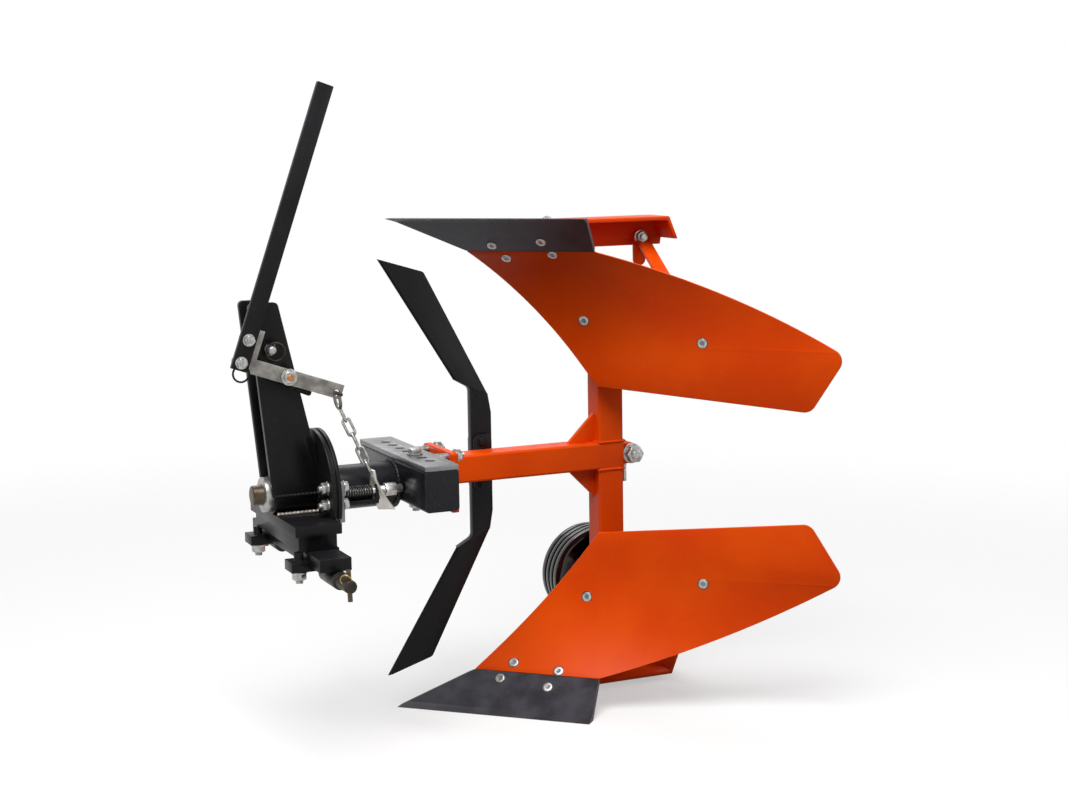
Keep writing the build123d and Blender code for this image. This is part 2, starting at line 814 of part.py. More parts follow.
def rolled_section(start_s, top_z, front, back):
    """Closed section of a plate that follows the rolled board between two depths."""
    middle_angle = (face_angle + 90) / 2
    front_radius = board_radius + front
    back_radius = board_radius + back
    with BuildLine() as section:
        Line(face_point(start_s, front), face_point(board_flat_end, front))
        ThreePointArc(
            board_arc_point(front_radius, face_angle),
            board_arc_point(front_radius, middle_angle),
            board_arc_point(front_radius, 90),
        )
        Polyline(
            board_arc_point(front_radius, 90),
            (arc_centre[0] + front_radius, top_z),
            (arc_centre[0] + back_radius, top_z),
            board_arc_point(back_radius, 90),
        )
        ThreePointArc(
            board_arc_point(back_radius, 90),
            board_arc_point(back_radius, middle_angle),
            board_arc_point(back_radius, face_angle),
        )
        Polyline(face_point(board_flat_end, back), face_point(start_s, back), face_point(start_s, front))
    return section.edges()


# Share: a bevelled lip and a flat face, cut to its long pointed outline
with BuildPart() as share:
    with BuildSketch(profile_plane):
        with BuildLine():
            Polyline(
                (0, 0),
                (lip_width, lip_height),
                face_point(share_top_s, 0),
                face_point(share_top_s, share_thickness),
                (share_heel_s, 0),
                close=True,
            )
        make_face()
    extrude(amount=share_length)
    with BuildSketch(outline_plane):
        with BuildLine():
            Polyline(
                (0, 0),
                (share_length, 0),
                (share_top_end, share_face_height),
                (share_top_start, share_face_height),
                close=True,
            )
        make_face()
    extrude(amount=outline_depth + outline_margin, mode=Mode.INTERSECT)
write_pair(share.part, "share")

# Moldboard: one rolled plate, cut to the outline of its shin, tail and wing
board_bottom_s = share_top_s + board_joint_gap
board_bottom_z = face_point(board_bottom_s, 0)[1]
board_section = rolled_section(board_bottom_s, tail_top_height + outline_margin, 0, board_thickness)
shin_foot = Vector(share_top_start, board_bottom_z)
shin_top = Vector(shin_top_reach, shin_top_height)
wing_foot = Vector(share_top_end, board_bottom_z)
tail_top = Vector(tail_top_reach, tail_top_height)
tail_bottom = Vector(tail_bottom_reach, tail_bottom_height)


def bowed(start, end, bow):
    """Middle point of an edge that bows to the right of its run by a depth."""
    run = (end - start).normalized()
    return (start + end) / 2 + Vector(run.Y, -run.X) * bow


with BuildPart() as moldboard:
    with BuildSketch(profile_plane):
        make_face(board_section)
    extrude(amount=tail_bottom_reach + outline_margin)
    with BuildSketch(outline_plane):
        with BuildLine():
            Line((share_top_start, 0), (share_top_end, 0))
            Line((share_top_end, 0), wing_foot)
            ThreePointArc(wing_foot, bowed(wing_foot, tail_bottom, wing_bow), tail_bottom)
            Polyline(tail_bottom, tail_top, shin_top)
            ThreePointArc(shin_top, bowed(shin_foot, shin_top, shin_bow), shin_foot)
            Line(shin_foot, (share_top_start, 0))
        outline = make_face()
        fillet(outline.vertices().sort_by(Axis.X)[-2:], radius=tail_corner_radius)
    extrude(amount=outline_depth + outline_margin, mode=Mode.INTERSECT)
write_pair(moldboard.part, "moldboard")

# Frog: a rolled backing plate, with a sole plate, a seat and a rib for the leg, and a web to the landside
landside_far = tip_y
landside_near = tip_y - landside_thickness
frog_face = share_thickness
frog_top = arc_centre[1] + frog_rise
web_front = leg_front - web_width
tray_front = leg_front - landside_flange_lead


def shin_t(z):
    """Place of the board's shin along the share edge at a height."""
    return shin_foot.X + (shin_top.X - shin_foot.X) * (z - shin_foot.Y) / (shin_top.Y - shin_foot.Y)


def shin_z(t):
    """Height of the board's shin at a place along the share edge."""
    return shin_foot.Y + (shin_top.Y - shin_foot.Y) * (t - shin_foot.X) / (shin_top.X - shin_foot.X)


frog_section = rolled_section(frog_front_setback, frog_top, frog_face, frog_face + frog_thickness)
with BuildPart() as frog:
    with BuildSketch(profile_plane.offset(frog_start)):
        make_face(frog_section)
    extrude(amount=frog_end - frog_start)
    with BuildSketch(outline_plane):
        with BuildLine():
            Polyline(
                (frog_start, frog_bottom),
                (frog_sole_end, frog_bottom),
                (frog_end, frog_shoulder),
                (frog_end, frog_top),
                (shin_t(frog_top) + frog_inset, frog_top),
                (frog_start, shin_z(frog_start - frog_inset)),
                close=True,
            )
        make_face()
    extrude(amount=outline_depth + outline_margin, mode=Mode.INTERSECT)
    sole_depth_in = frog_face + frog_thickness / 2
    sole_rise = sole_plate_height + sole_plate_thickness - lip_height + sole_depth_in * cos(face)
    sole_s = lip_width + sole_rise / slope + sole_depth_in * sin(face)
    sole_start = body_point(frog_start, sole_s, 0)
    sole_end = body_point(frog_sole_end, sole_s, 0)
    with BuildSketch(Plane.XY.offset(-sole_depth + sole_plate_height)):
        with BuildLine():
            Polyline(
                (sole_start.X, sole_start.Y),
                (sole_end.X, sole_end.Y),
                (tray_front - seat_gap, beam_offset),
                (tray_front - seat_gap, landside_near),
                (sole_start.X, landside_near),
                close=True,
            )
        make_face()
    extrude(amount=sole_plate_thickness)
    rib_face = arc_centre[0] + board_radius + frog_face - rib_bite
    rib_near = body_point(rib_start, rib_face, 0)
    rib_far = body_point(rib_end, rib_face, 0)
    with BuildSketch(Plane.XY.offset(-sole_depth + rib_height)):
        with BuildLine():
            Polyline(
                (rib_near.X, rib_near.Y),
                (rib_far.X, rib_far.Y),
                (leg_rear, beam_offset),
                (leg_front, beam_offset),
                (leg_front, landside_near),
                (web_front, landside_near),
                close=True,
            )
        make_face()
    extrude(amount=rib_thickness)
    seat_height = sole_depth - leg_half_height - rib_thickness / 2
    seat_radius = board_radius + frog_face + frog_thickness / 2
    seat_s = arc_centre[0] + sqrt(seat_radius**2 - (seat_height - arc_centre[1]) ** 2)
    seat_start = body_point(rib_start, seat_s, 0)
    seat_stop = body_point(seat_end, seat_s, 0)
    with BuildSketch(Plane.XY.offset(-leg_half_height - rib_thickness)):
        with BuildLine():
            Polyline(
                (seat_start.X, seat_start.Y),
                (seat_stop.X, seat_stop.Y),
                (leg_rear, beam_offset),
                (leg_rear, beam_far),
                (leg_front, landside_near),
                (web_front, landside_near),
                close=True,
            )
        make_face()
    extrude(amount=rib_thickness)
    web_foot = -sole_depth + sole_plate_height + sole_plate_thickness - rib_bite
    web_head = -sole_depth + rib_height + rib_thickness
    with BuildSketch(side_plane(landside_near)):
        with Locations(((web_front + leg_front) / 2, (web_foot + web_head) / 2)):
            Rectangle(web_width, web_head - web_foot)
    extrude(amount=frog_thickness)
write_pair(frog.part, "frog")

# Landside: a long plate that runs along the furrow wall, folded in along its sole and its raked heel
landside_front = tip_x + landside_front_setback
landside_rear = leg_rear + landside_tail
landside_sole = -sole_depth + landside_rise
heel_tip = (landside_rear + landside_rake, landside_sole + landside_heel_height)
heel_slope = landside_rake / landside_heel_height
heel_fold = landside_rear + heel_slope * landside_flange_thickness - landside_flange_thickness
with BuildPart() as landside:
    with BuildSketch(side_plane(landside_far)):
        with BuildLine():
            Polyline(
                (landside_front, landside_sole),
                (landside_rear, landside_sole),
                heel_tip,
                (heel_tip[0] - landside_heel_cut, landside_sole + landside_height),
                (landside_front + landside_front_rake, landside_sole + landside_height),
                close=True,
            )
        make_face()
    extrude(amount=landside_thickness)
    with BuildSketch(side_plane(landside_near)):
        with BuildLine():
            Polyline(
                (tray_front, landside_sole),
                (landside_rear, landside_sole),
                heel_tip,
                (heel_tip[0] - landside_flange_thickness, heel_tip[1]),
                (heel_fold, landside_sole + landside_flange_thickness),
                (tray_front, landside_sole + landside_flange_thickness),
                close=True,
            )
        make_face()
    extrude(amount=landside_flange_depth)
write_pair(landside.part, "landside")

# Strut from the landside's heel to the back of the board's tail
strut_heel = Vector(leg_rear + strut_heel_setback, landside_near, -sole_depth + strut_heel_height)
strut_head = body_point(strut_board_t, arc_centre[0] + board_radius, strut_board_height)
strut_run = strut_head - strut_heel
strut_spare = strut_run.length / 4
strut_start = strut_heel - strut_run.normalized() * strut_spare
behind_board = rolled_section(
    board_bottom_s, tail_top_height + outline_margin, board_thickness + running_clearance, board_radius
)
with BuildPart() as strut:
    with BuildSketch(Plane(origin=strut_start, x_dir=(1, 0, 0), z_dir=strut_run)):
        Rectangle(strut_width, strut_thickness)
    extrude(amount=strut_run.length + 2 * strut_spare)
    split(bisect_by=Plane.XZ.offset(-landside_near), keep=Keep.TOP)
    with BuildSketch(profile_plane):
        make_face(behind_board)
    extrude(amount=tail_bottom_reach, mode=Mode.INTERSECT)
write_pair(strut.part, "strut")

# Knives: one forged bar each, with a shank on the beam and a flattened, forward raked blade
knife_neck = (knife_front, -knife_neck_drop)
knife_throat = (knife_front - knife_throat_reach, -knife_throat_drop)
knife_point = (knife_front - knife_point_reach, -knife_point_drop)
knife_heel = (knife_front - knife_heel_reach, -knife_heel_drop)
knife_back = (knife_rear - knife_back_inset, -knife_back_drop)
knife_middle = (knife_near + knife_far) / 2
with BuildPart() as knife:
    with BuildSketch(side_plane(knife_middle + knife_blade_thickness / 2)):
        with BuildLine():
            Polyline(knife_throat, knife_point, knife_heel, knife_back, knife_throat)
        blade = make_face()
        fillet(blade.vertices().sort_by(Axis.Y)[1], radius=knife_heel_radius)
    extrude(amount=knife_blade_thickness)
    long_edges = knife.edges().filter_by(Axis.Y, reverse=True).sort_by(SortBy.LENGTH)
    chamfer(long_edges[-2:], length=knife_edge_bevel)
    with BuildSketch(side_plane(knife_far)):
        with BuildLine():
            Polyline(
                (knife_front, 0),
                knife_neck,
                knife_throat,
                knife_back,
                (knife_rear, -knife_back_top),
                (knife_rear, 0),
                close=True,
            )
        shank = make_face()
        neck_corner = shank.vertices().sort_by_distance(Vector(*knife_neck))[0]
        fillet(neck_corner, radius=knife_neck_radius)
    extrude(amount=knife_thickness)
write_pair(knife.part, "knife")


def knife_plate(far, thickness):
    """Plate on one side of the knife shanks, as wide as they are."""
    with BuildPart() as plate:
        with BuildSketch(side_plane(far)):
            with Locations(((knife_front + knife_rear) / 2, 0)):
                RectangleRounded(
                    knife_shank_width - knife_clamp_inset, 2 * knife_clamp_half_height, knife_clamp_corner
                )
        extrude(amount=thickness)
    return plate.part


write(knife_plate(knife_near, knife_pad_thickness), "knife_pad")
write(knife_plate(knife_far + knife_clamp_thickness, knife_clamp_thickness), "knife_clamp")

# Wheel arm: a sleeve on the pin and a flat bar down to the axle
with BuildPart() as wheel_arm:
    with BuildSketch(side_plane(arm_far)):
        with Locations((wheel_pin_x, -wheel_drop / 2)):
            SlotCenterToCenter(wheel_drop, arm_width, rotation=90)
    extrude(amount=arm_thickness)
    with BuildSketch(side_plane(arm_far)):
        with Locations((wheel_pin_x, 0)):
            Circle(arm_sleeve_radius)
    extrude(amount=arm_sleeve_length)
    with BuildSketch(side_plane(arm_far)):
        with Locations((wheel_pin_x, 0)):
            Circle(wheel_pin_radius + running_clearance)
    extrude(amount=arm_sleeve_length, mode=Mode.SUBTRACT)
write(wheel_arm.part, "wheel_arm")

with BuildPart() as wheel_axle:
    with BuildSketch(side_plane(wheel_far + axle_end)):
        with Locations((wheel_pin_x, -wheel_drop)):
            Circle(wheel_bore_radius)
    extrude(amount=wheel_far + axle_end - arm_far)
write(wheel_axle.part, "wheel_axle")

# Depth wheel: grooved tread, thin web and hub
with BuildPart() as depth_wheel:
    with BuildSketch(side_plane(wheel_far)):
        with Locations((wheel_pin_x, -wheel_drop)):
            Circle(wheel_radius)
            Circle(wheel_radius - wheel_rim_thickness, mode=Mode.SUBTRACT)
            Circle(wheel_hub_radius)
    extrude(amount=wheel_width)
    with BuildSketch(side_plane(wheel_middle + wheel_web_thickness / 2)):
        with Locations((wheel_pin_x, -wheel_drop)):
            Circle(wheel_radius - wheel_rim_thickness + wheel_rim_overlap)
    extrude(amount=wheel_web_thickness)
    for number in range(wheel_groove_count):
        groove_far = wheel_middle + (number - (wheel_groove_count - 1) / 2) * wheel_groove_spacing
        with BuildSketch(side_plane(groove_far + wheel_groove_width / 2)):
            with Locations((wheel_pin_x, -wheel_drop)):
                Circle(wheel_radius + wheel_rim_overlap)
                Circle(wheel_radius - wheel_groove_depth, mode=Mode.SUBTRACT)
        extrude(amount=wheel_groove_width, mode=Mode.SUBTRACT)
    with BuildSketch(side_plane(wheel_far)):
        with Locations((wheel_pin_x, -wheel_drop)):
            Circle(wheel_bore_radius + running_clearance)
    extrude(amount=wheel_width, mode=Mode.SUBTRACT)
write(depth_wheel.part, "depth_wheel")
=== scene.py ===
# %% [markdown]
# # A one-furrow turn-over plough in the studio
# The plough arrives here as a set of solid pieces in metres: X runs rearward, Y away from the camera,
# Z up, and the origin sits between the two lower link pins. This lesson gives those pieces their paint
# and steel, rounds their edges, adds the bolts, pins, spring and welds, and lights them.

# %% Load the frame
import json
from math import cos, pi, radians, sin, tan

import bpy
from mathutils import Matrix, Vector

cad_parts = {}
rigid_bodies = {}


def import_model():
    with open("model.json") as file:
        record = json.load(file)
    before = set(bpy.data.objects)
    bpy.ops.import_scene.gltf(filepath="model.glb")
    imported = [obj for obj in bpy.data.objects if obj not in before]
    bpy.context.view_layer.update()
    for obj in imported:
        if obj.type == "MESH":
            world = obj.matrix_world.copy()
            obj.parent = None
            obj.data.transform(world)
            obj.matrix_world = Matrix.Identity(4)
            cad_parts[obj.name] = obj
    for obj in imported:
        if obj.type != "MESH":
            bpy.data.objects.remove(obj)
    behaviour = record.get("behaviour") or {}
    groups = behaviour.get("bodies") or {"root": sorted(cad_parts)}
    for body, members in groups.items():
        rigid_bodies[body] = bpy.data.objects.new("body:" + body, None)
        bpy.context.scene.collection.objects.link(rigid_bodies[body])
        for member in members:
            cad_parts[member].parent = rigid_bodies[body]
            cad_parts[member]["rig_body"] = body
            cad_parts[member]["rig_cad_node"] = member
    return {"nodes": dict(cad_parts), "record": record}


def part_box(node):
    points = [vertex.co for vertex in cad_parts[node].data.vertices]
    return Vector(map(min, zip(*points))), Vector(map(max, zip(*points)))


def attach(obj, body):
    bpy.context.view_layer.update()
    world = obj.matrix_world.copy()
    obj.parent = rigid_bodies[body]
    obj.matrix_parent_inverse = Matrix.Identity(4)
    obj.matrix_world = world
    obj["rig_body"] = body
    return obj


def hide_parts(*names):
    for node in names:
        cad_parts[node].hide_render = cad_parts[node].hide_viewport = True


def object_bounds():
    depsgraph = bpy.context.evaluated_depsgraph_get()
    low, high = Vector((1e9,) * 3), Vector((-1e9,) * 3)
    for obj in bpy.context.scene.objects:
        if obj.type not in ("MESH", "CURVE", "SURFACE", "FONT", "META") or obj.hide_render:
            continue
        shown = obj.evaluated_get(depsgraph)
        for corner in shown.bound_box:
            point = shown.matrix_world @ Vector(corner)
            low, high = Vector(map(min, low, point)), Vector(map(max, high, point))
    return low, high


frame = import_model()
cad_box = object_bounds()
body_of_node = {name: obj["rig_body"] for name, obj in frame["nodes"].items()}
mm = 0.001
beam_low, beam_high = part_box("beam")
axis_height = (beam_low.z + beam_high.z) / 2
floor_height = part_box("share_lower")[0].z
print("nodes", len(frame["nodes"]))
print("turning axis at", round(axis_height, 4), "floor at", round(floor_height, 4))

# %% [markdown]
# ## Writing shader sums like ordinary sums
# A worn surface is mostly arithmetic on noise. Wiring each sum by hand hides the idea, so a socket is
# wrapped in a small class: `mask * 0.5 + 0.1` then adds the two Math nodes by itself.

# %% A socket that does sums
class Flow:
    def __init__(self, finish, socket):
        self.finish = finish
        self.socket = socket

    def sum(self, operation, first, second):
        return self.finish.node("ShaderNodeMath", {"operation": operation}, {0: first, 1: second})

    def __add__(self, other):
        return self.sum("ADD", self, other)

    def __sub__(self, other):
        return self.sum("SUBTRACT", self, other)

    def __rsub__(self, other):
        return self.sum("SUBTRACT", other, self)

    def __mul__(self, other):
        return self.sum("MULTIPLY", self, other)

    __radd__ = __add__
    __rmul__ = __mul__

    def ramp(self, low, high):
        settings = {"interpolation_type": "SMOOTHSTEP"}
        return self.finish.node("ShaderNodeMapRange", settings, {0: self, 1: low, 2: high})


# %% A finish: one material and the nodes that feed it
class Finish:
    def __init__(self, name):
        self.material = bpy.data.materials.new(name)
        self.material.use_nodes = True
        self.tree = self.material.node_tree
        self.shader = self.tree.nodes["Principled BSDF"]
        self.place = self.node("ShaderNodeTexCoord", {}, {}, "Object")

    def node(self, kind, settings, sockets, out=0):
        made = self.tree.nodes.new(kind)
        for setting, value in settings.items():
            setattr(made, setting, value)
        for socket, value in sockets.items():
            self.feed(made.inputs[socket], value)
        return Flow(self, made.outputs[out])

    def feed(self, socket, value):
        if isinstance(value, Flow):
            self.tree.links.new(value.socket, socket)
        else:
            socket.default_value = value

    def set(self, **sockets):
        for name, value in sockets.items():
            self.feed(self.shader.inputs[name.replace("_", " ")], value)

    def noise(self, scale, detail=3.0, stretch=(1, 1, 1)):
        spot = self.node("ShaderNodeMapping", {}, {"Vector": self.place, "Scale": stretch})
        return self.node("ShaderNodeTexNoise", {}, {"Vector": spot, "Scale": scale, "Detail": detail})

    def mix(self, factor, first, second):
        return self.node("ShaderNodeMix", {"data_type": "RGBA"}, {0: factor, 6: first, 7: second}, 2)

    def edges(self, width):
        rounded = self.node("ShaderNodeBevel", {"samples": 4}, {"Radius": width})
        true = self.node("ShaderNodeNewGeometry", {}, {}, "Normal")
        dot = {"operation": "DOT_PRODUCT"}
        return 1 - self.node("ShaderNodeVectorMath", dot, {0: rounded, 1: true}, "Value")

    def upward(self):
        true = self.node("ShaderNodeNewGeometry", {}, {}, "Normal")
        up = self.node("ShaderNodeSeparateXYZ", {}, {0: true}, "Z")
        return up.ramp(0.3, 1.0)

    def seen(self):
        """1 for a ray that shows the studio to the camera, straight, mirrored or through glass."""
        camera, glossy, through = (
            self.node("ShaderNodeLightPath", {}, {}, f"Is {kind} Ray")
            for kind in ("Camera", "Glossy", "Transmission")
        )
        return (camera + glossy + through).ramp(0, 1)

    def bump(self, height, strength, depth):
        return self.node("ShaderNodeBump", {}, {"Height": height, "Strength": strength, "Distance": depth})


def linear(red, green, blue):
    """An sRGB colour in 0 to 255, as the linear colour that a shader takes."""
    channels = [c / 255 for c in (red, green, blue)]
    return tuple(c / 12.92 if c <= 0.04045 else ((c + 0.055) / 1.055) ** 2.4 for c in channels) + (1,)


# %% [markdown]
# ## Paint
# The frame and the moldboards are sprayed orange, the headstock and knives black. Fresh paint still
# shows three things: slow drifts of tone, a fine orange-peel skin, and edges where the coat runs thin.

# %% The painted finishes
def paint(name, colour, deep, thin, roughness, shine):
    f = Finish(name)
    drift = f.noise(7, 4).ramp(0.32, 0.7)
    specks = f.noise(230, 2).ramp(0.6, 0.74)
    worn = (f.edges(1.6 * mm) * (f.noise(60) + 0.35)).ramp(0.05, 0.32)
    dust = f.upward() * f.noise(45, 5).ramp(0.35, 0.75)
    tone = f.mix(drift, linear(*deep), linear(*colour))
    tone = f.mix(specks * 0.14 + worn * 0.55, tone, linear(*thin))
    f.set(Base_Color=tone, Roughness=drift * 0.06 + dust * 0.12 + worn * 0.1 + roughness)
    f.set(Specular_IOR_Level=shine)
    skin = f.noise(420, 2) + f.noise(60, 2) * 0.8
    f.set(Normal=f.bump(skin, 0.14, 0.4 * mm))
    return f.material


orange_paint = paint("orange_paint", (234, 79, 5), (224, 67, 3), (244, 122, 46), 0.3, 0.1)
black_paint = paint("black_paint", (29, 28, 30), (20, 19, 21), (80, 78, 80), 0.3, 0.14)
grey_paint = paint("grey_paint", (31, 31, 35), (23, 23, 27), (92, 92, 96), 0.26, 0.17)
print("paints made")

# %% [markdown]
# ## Steel
# The shares are hardened and oiled, so they are dark blue-grey with clouds left by the quench and fine
# lines from rolling. Fasteners are zinc plated, which mottles in soft spangles. The shaft and the link
# pins are left bare and have browned a little.

# %% The metal finishes
rubbed_bright = (186, 184, 180)
even = (1, 1, 1)
rolled_lines = (0.25, 0.25, 3)
lathe_lines = (4, 0.4, 0.4)
milled_lines = (0.4, 3, 1)


def metal(name, dark, light, roughness, metallic, cloud_scale, streak, wear=0.4, shine=0.35):
    f = Finish(name)
    clouds = f.noise(cloud_scale, 5).ramp(0.33, 0.68)
    grain = f.noise(110, 3, streak)
    worn = f.edges(1.2 * mm).ramp(0.04, 0.4)
    tone = f.mix(clouds * 0.75 + grain * 0.25, linear(*dark), linear(*light))
    tone = f.mix(worn * wear, tone, linear(*rubbed_bright))
    f.set(Base_Color=tone, Metallic=metallic, Specular_IOR_Level=shine)
    f.set(Roughness=clouds * 0.08 + grain * 0.1 + roughness - worn * 0.08)
    f.set(Normal=f.bump(grain + f.noise(500, 2) * 0.4, 0.12, 0.3 * mm))
    return f.material


share_steel = metal("share_steel", (31, 31, 38), (63, 62, 70), 0.36, 0.12, 22, rolled_lines, 0.8, 0.2)
zinc = metal("zinc", (138, 138, 136), (196, 196, 192), 0.24, 0.85, 160, even)
galvanised = metal("galvanised", (104, 101, 98), (166, 162, 155), 0.34, 0.6, 45, even)
bare_steel = metal("bare_steel", (62, 53, 41), (106, 93, 74), 0.3, 0.7, 40, lathe_lines)
turned_steel = metal("turned_steel", (140, 139, 136), (186, 185, 182), 0.26, 0.8, 60, lathe_lines)
browned_steel = metal("browned_steel", (28, 25, 23), (66, 57, 48), 0.34, 0.4, 50, even)
oiled_steel = metal("oiled_steel", (30, 29, 30), (66, 64, 64), 0.28, 0.6, 70, even)
strap_steel = metal("strap_steel", (176, 173, 164), (222, 219, 209), 0.46, 0.15, 40, even)
plate_steel = metal("plate_steel", (98, 99, 101), (146, 147, 148), 0.3, 0.6, 14, milled_lines)
brass = metal("brass", (122, 106, 60), (174, 154, 96), 0.28, 0.9, 90, even)
copper = metal("copper", (150, 92, 54), (192, 132, 84), 0.3, 0.8, 90, even)
weld_steel = metal("weld_steel", (116, 110, 106), (196, 188, 178), 0.36, 0.6, 260, even)
print("metals made")

# %% [markdown]
# ## The wheel's plastic
# The depth wheel is one moulded roller. Its skin is glossy, most of all on the rubbed edges of the ribs, so
# the roughness falls towards the edges, and a fine grain breaks up the highlight.

# %% The moulded wheel finish
rubbed_grey = (120, 121, 124)


def moulded(name, colour, deep, roughness):
    f = Finish(name)
    drift = f.noise(18, 3).ramp(0.3, 0.7)
    rubbed = f.edges(2.5 * mm).ramp(0.02, 0.3)
    tone = f.mix(drift, linear(*deep), linear(*colour))
    f.set(Base_Color=f.mix(rubbed * 0.15, tone, linear(*rubbed_grey)))
    f.set(Roughness=drift * 0.08 + roughness - rubbed * 0.04, Specular_IOR_Level=0.5)
    f.set(Normal=f.bump(f.noise(600, 2), 0.04, 0.2 * mm))
    return f.material


wheel_plastic = moulded("wheel_plastic", (30, 29, 31), (20, 19, 21), 0.1)
print("wheel finish made")

# %% [markdown]
# ## Dressing the solids
# A CAD solid comes in as loose triangles with razor-sharp edges, and no real edge is that sharp: it is
# the small round on it that catches the light. The solid itself stays as it is. A copy is merged, its
# flat faces are joined, its edges get a narrow bevel, and the copy is shown in the solid's place.

# %% Helpers for picking and finishing pieces
finish_of_slot = {
    "orange_paint": orange_paint,
    "black_paint": black_paint,
    "grey_paint": grey_paint,
    "share_steel": share_steel,
    "zinc": zinc,
    "bare_steel": bare_steel,
    "wheel_plastic": wheel_plastic,
}


def only(obj):
    bpy.ops.object.select_all(action="DESELECT")
    obj.select_set(True)
    bpy.context.view_layer.objects.active = obj
    return obj


def add_modifier(obj, kind, **settings):
    only(obj)
    modifier = obj.modifiers.new(kind.lower(), kind)
    for setting, value in settings.items():
        setattr(modifier, setting, value)
    bpy.ops.object.modifier_apply(modifier=modifier.name)


def round_edges(obj, width, angle=32):
    if width:
        add_modifier(
            obj, "BEVEL", width=width, segments=2, limit_method="ANGLE", angle_limit=radians(angle),
            use_clamp_overlap=True, miter_outer="MITER_ARC",
        )
    only(obj)
    bpy.ops.object.shade_smooth_by_angle(angle=radians(angle))


def settle(obj, name, body, finish):
    obj.name = name
    obj.data.name = name
    if finish:
        obj.data.materials.clear()
        obj.data.materials.append(finish)
    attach(obj, body)
    return obj


def second_finish(obj, finish, chosen):
    """Gives the faces whose corners are chosen a finish of their own."""
    obj.data.materials.append(finish)
    for face in obj.data.polygons:
        if chosen([obj.data.vertices[corner].co for corner in face.vertices]):
            face.material_index = len(obj.data.materials) - 1


def dress(node, finish, edge):
    only(frame["nodes"][node])
    bpy.ops.object.duplicate()
    piece = bpy.context.object
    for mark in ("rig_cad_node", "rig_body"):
        if mark in piece:
            del piece[mark]
    bpy.ops.object.parent_clear(type="CLEAR_KEEP_TRANSFORM")
    bpy.ops.mesh.customdata_custom_splitnormals_clear()
    bpy.ops.object.mode_set(mode="EDIT")
    bpy.ops.mesh.select_all(action="SELECT")
    bpy.ops.mesh.remove_doubles(threshold=0.01 * mm)
    bpy.ops.mesh.dissolve_limited(angle_limit=radians(0.4))
    bpy.ops.object.mode_set(mode="OBJECT")
    if node == "beam":
        reach_across_leg(piece)
    round_edges(piece, edge)
    settle(piece, node + "_finished", body_of_node[node], finish)
    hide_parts(node)
    return piece


# %% [markdown]
# The leg is made of two lengths, welded above and below the end of the beam. Its solid runs through, so the
# beam's copy is drawn out across it and stands a hair proud, and the seams fall where the real ones are.

# %% Draw the beam out across the leg
proud = 0.2 * mm
leg_low, leg_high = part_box("leg")
beam_middle = (beam_low + beam_high) / 2


def reach_across_leg(piece):
    for vertex in piece.data.vertices:
        place = vertex.co
        if place.x > beam_middle.x:
            place.x = leg_high.x + proud
        place.y += proud if place.y > beam_middle.y else -proud
        place.z += proud if place.z > beam_middle.z else -proud


# %% Dress every solid in its finish
sharp_edge = 0.5 * mm
plate_edge = 1.4 * mm
casting_edge = 2.2 * mm
special_finish = {
    "cross_top_plate": plate_steel,
    "lock_plate": plate_steel,
    "bell_crank": galvanised,
    "lower_link_pin_left": browned_steel,
    "lower_link_pin_right": browned_steel,
}
special_edge = {
    "share_lower": sharp_edge,
    "share_upper": sharp_edge,
    "knife_lower": sharp_edge,
    "knife_upper": sharp_edge,
    "beam": casting_edge,
    "leg": casting_edge,
    "cross_tube": casting_edge,
    "cross_top_plate": sharp_edge,
    "lock_chain": 0,
    "depth_wheel": 0.8 * mm,
}
finished = {}
for part in frame["record"]["subparts"]:
    node = part["node"]
    slot = part["material_slot"]
    finish = special_finish.get(node, finish_of_slot[slot])
    finished[node] = dress(node, finish, special_edge.get(node, plate_edge))
print("dressed", len(finished), "solids")

# %% [markdown]
# Two pieces carry two finishes: the shaft's brown end wears a bright turned collar, and the lock rod is
# oiled dark as far as its nut.

# %% Give the collar and the rod their second finish
collar_reach = 26 * mm
nut_start = 126 * mm


def on_collar(corners):
    return max((c.y**2 + (c.z - axis_height) ** 2) ** 0.5 for c in corners) > collar_reach


def before_nut(corners):
    return max(c.x for c in corners) < nut_start


second_finish(finished["turning_shaft"], turned_steel, on_collar)
second_finish(finished["lock_rod"], oiled_steel, before_nut)
print("collar and rod have", len(finished["turning_shaft"].data.materials), "finishes each")

# %% [markdown]
# ## Fasteners
# A nut is a hexagon with its corners turned off on the lathe, so it is modelled the same way: a six-sided
# prism, cut down to what a blunt cone also covers. A screw end is a disc pushed up in steps that go in and
# out. Each is modelled once, standing on the ground at the origin, and copies are laid on their seats.

# %% Shapes that the fasteners are made of
chamfer_angle = radians(30)
thread_depth = 0.86


def disc(radius, bottom, top, sides=48):
    bpy.ops.object.select_all(action="DESELECT")
    middle_height = (bottom + top) / 2
    bpy.ops.mesh.primitive_cylinder_add(
        vertices=sides, radius=radius, depth=top - bottom, location=(0, 0, middle_height)
    )
    return bpy.context.object


def hexagon(flats, bottom, top):
    prism = disc(flats / 2 / cos(pi / 6), bottom, top, 6)
    height = top - bottom
    crown = flats * 0.48
    skirt = crown + height / tan(chamfer_angle)
    bpy.ops.mesh.primitive_cone_add(
        vertices=64, radius1=skirt, radius2=crown, depth=height, location=prism.location
    )
    cone = bpy.context.object
    add_modifier(prism, "BOOLEAN", operation="INTERSECT", object=cone, solver="EXACT")
    bpy.data.objects.remove(cone)
    return prism


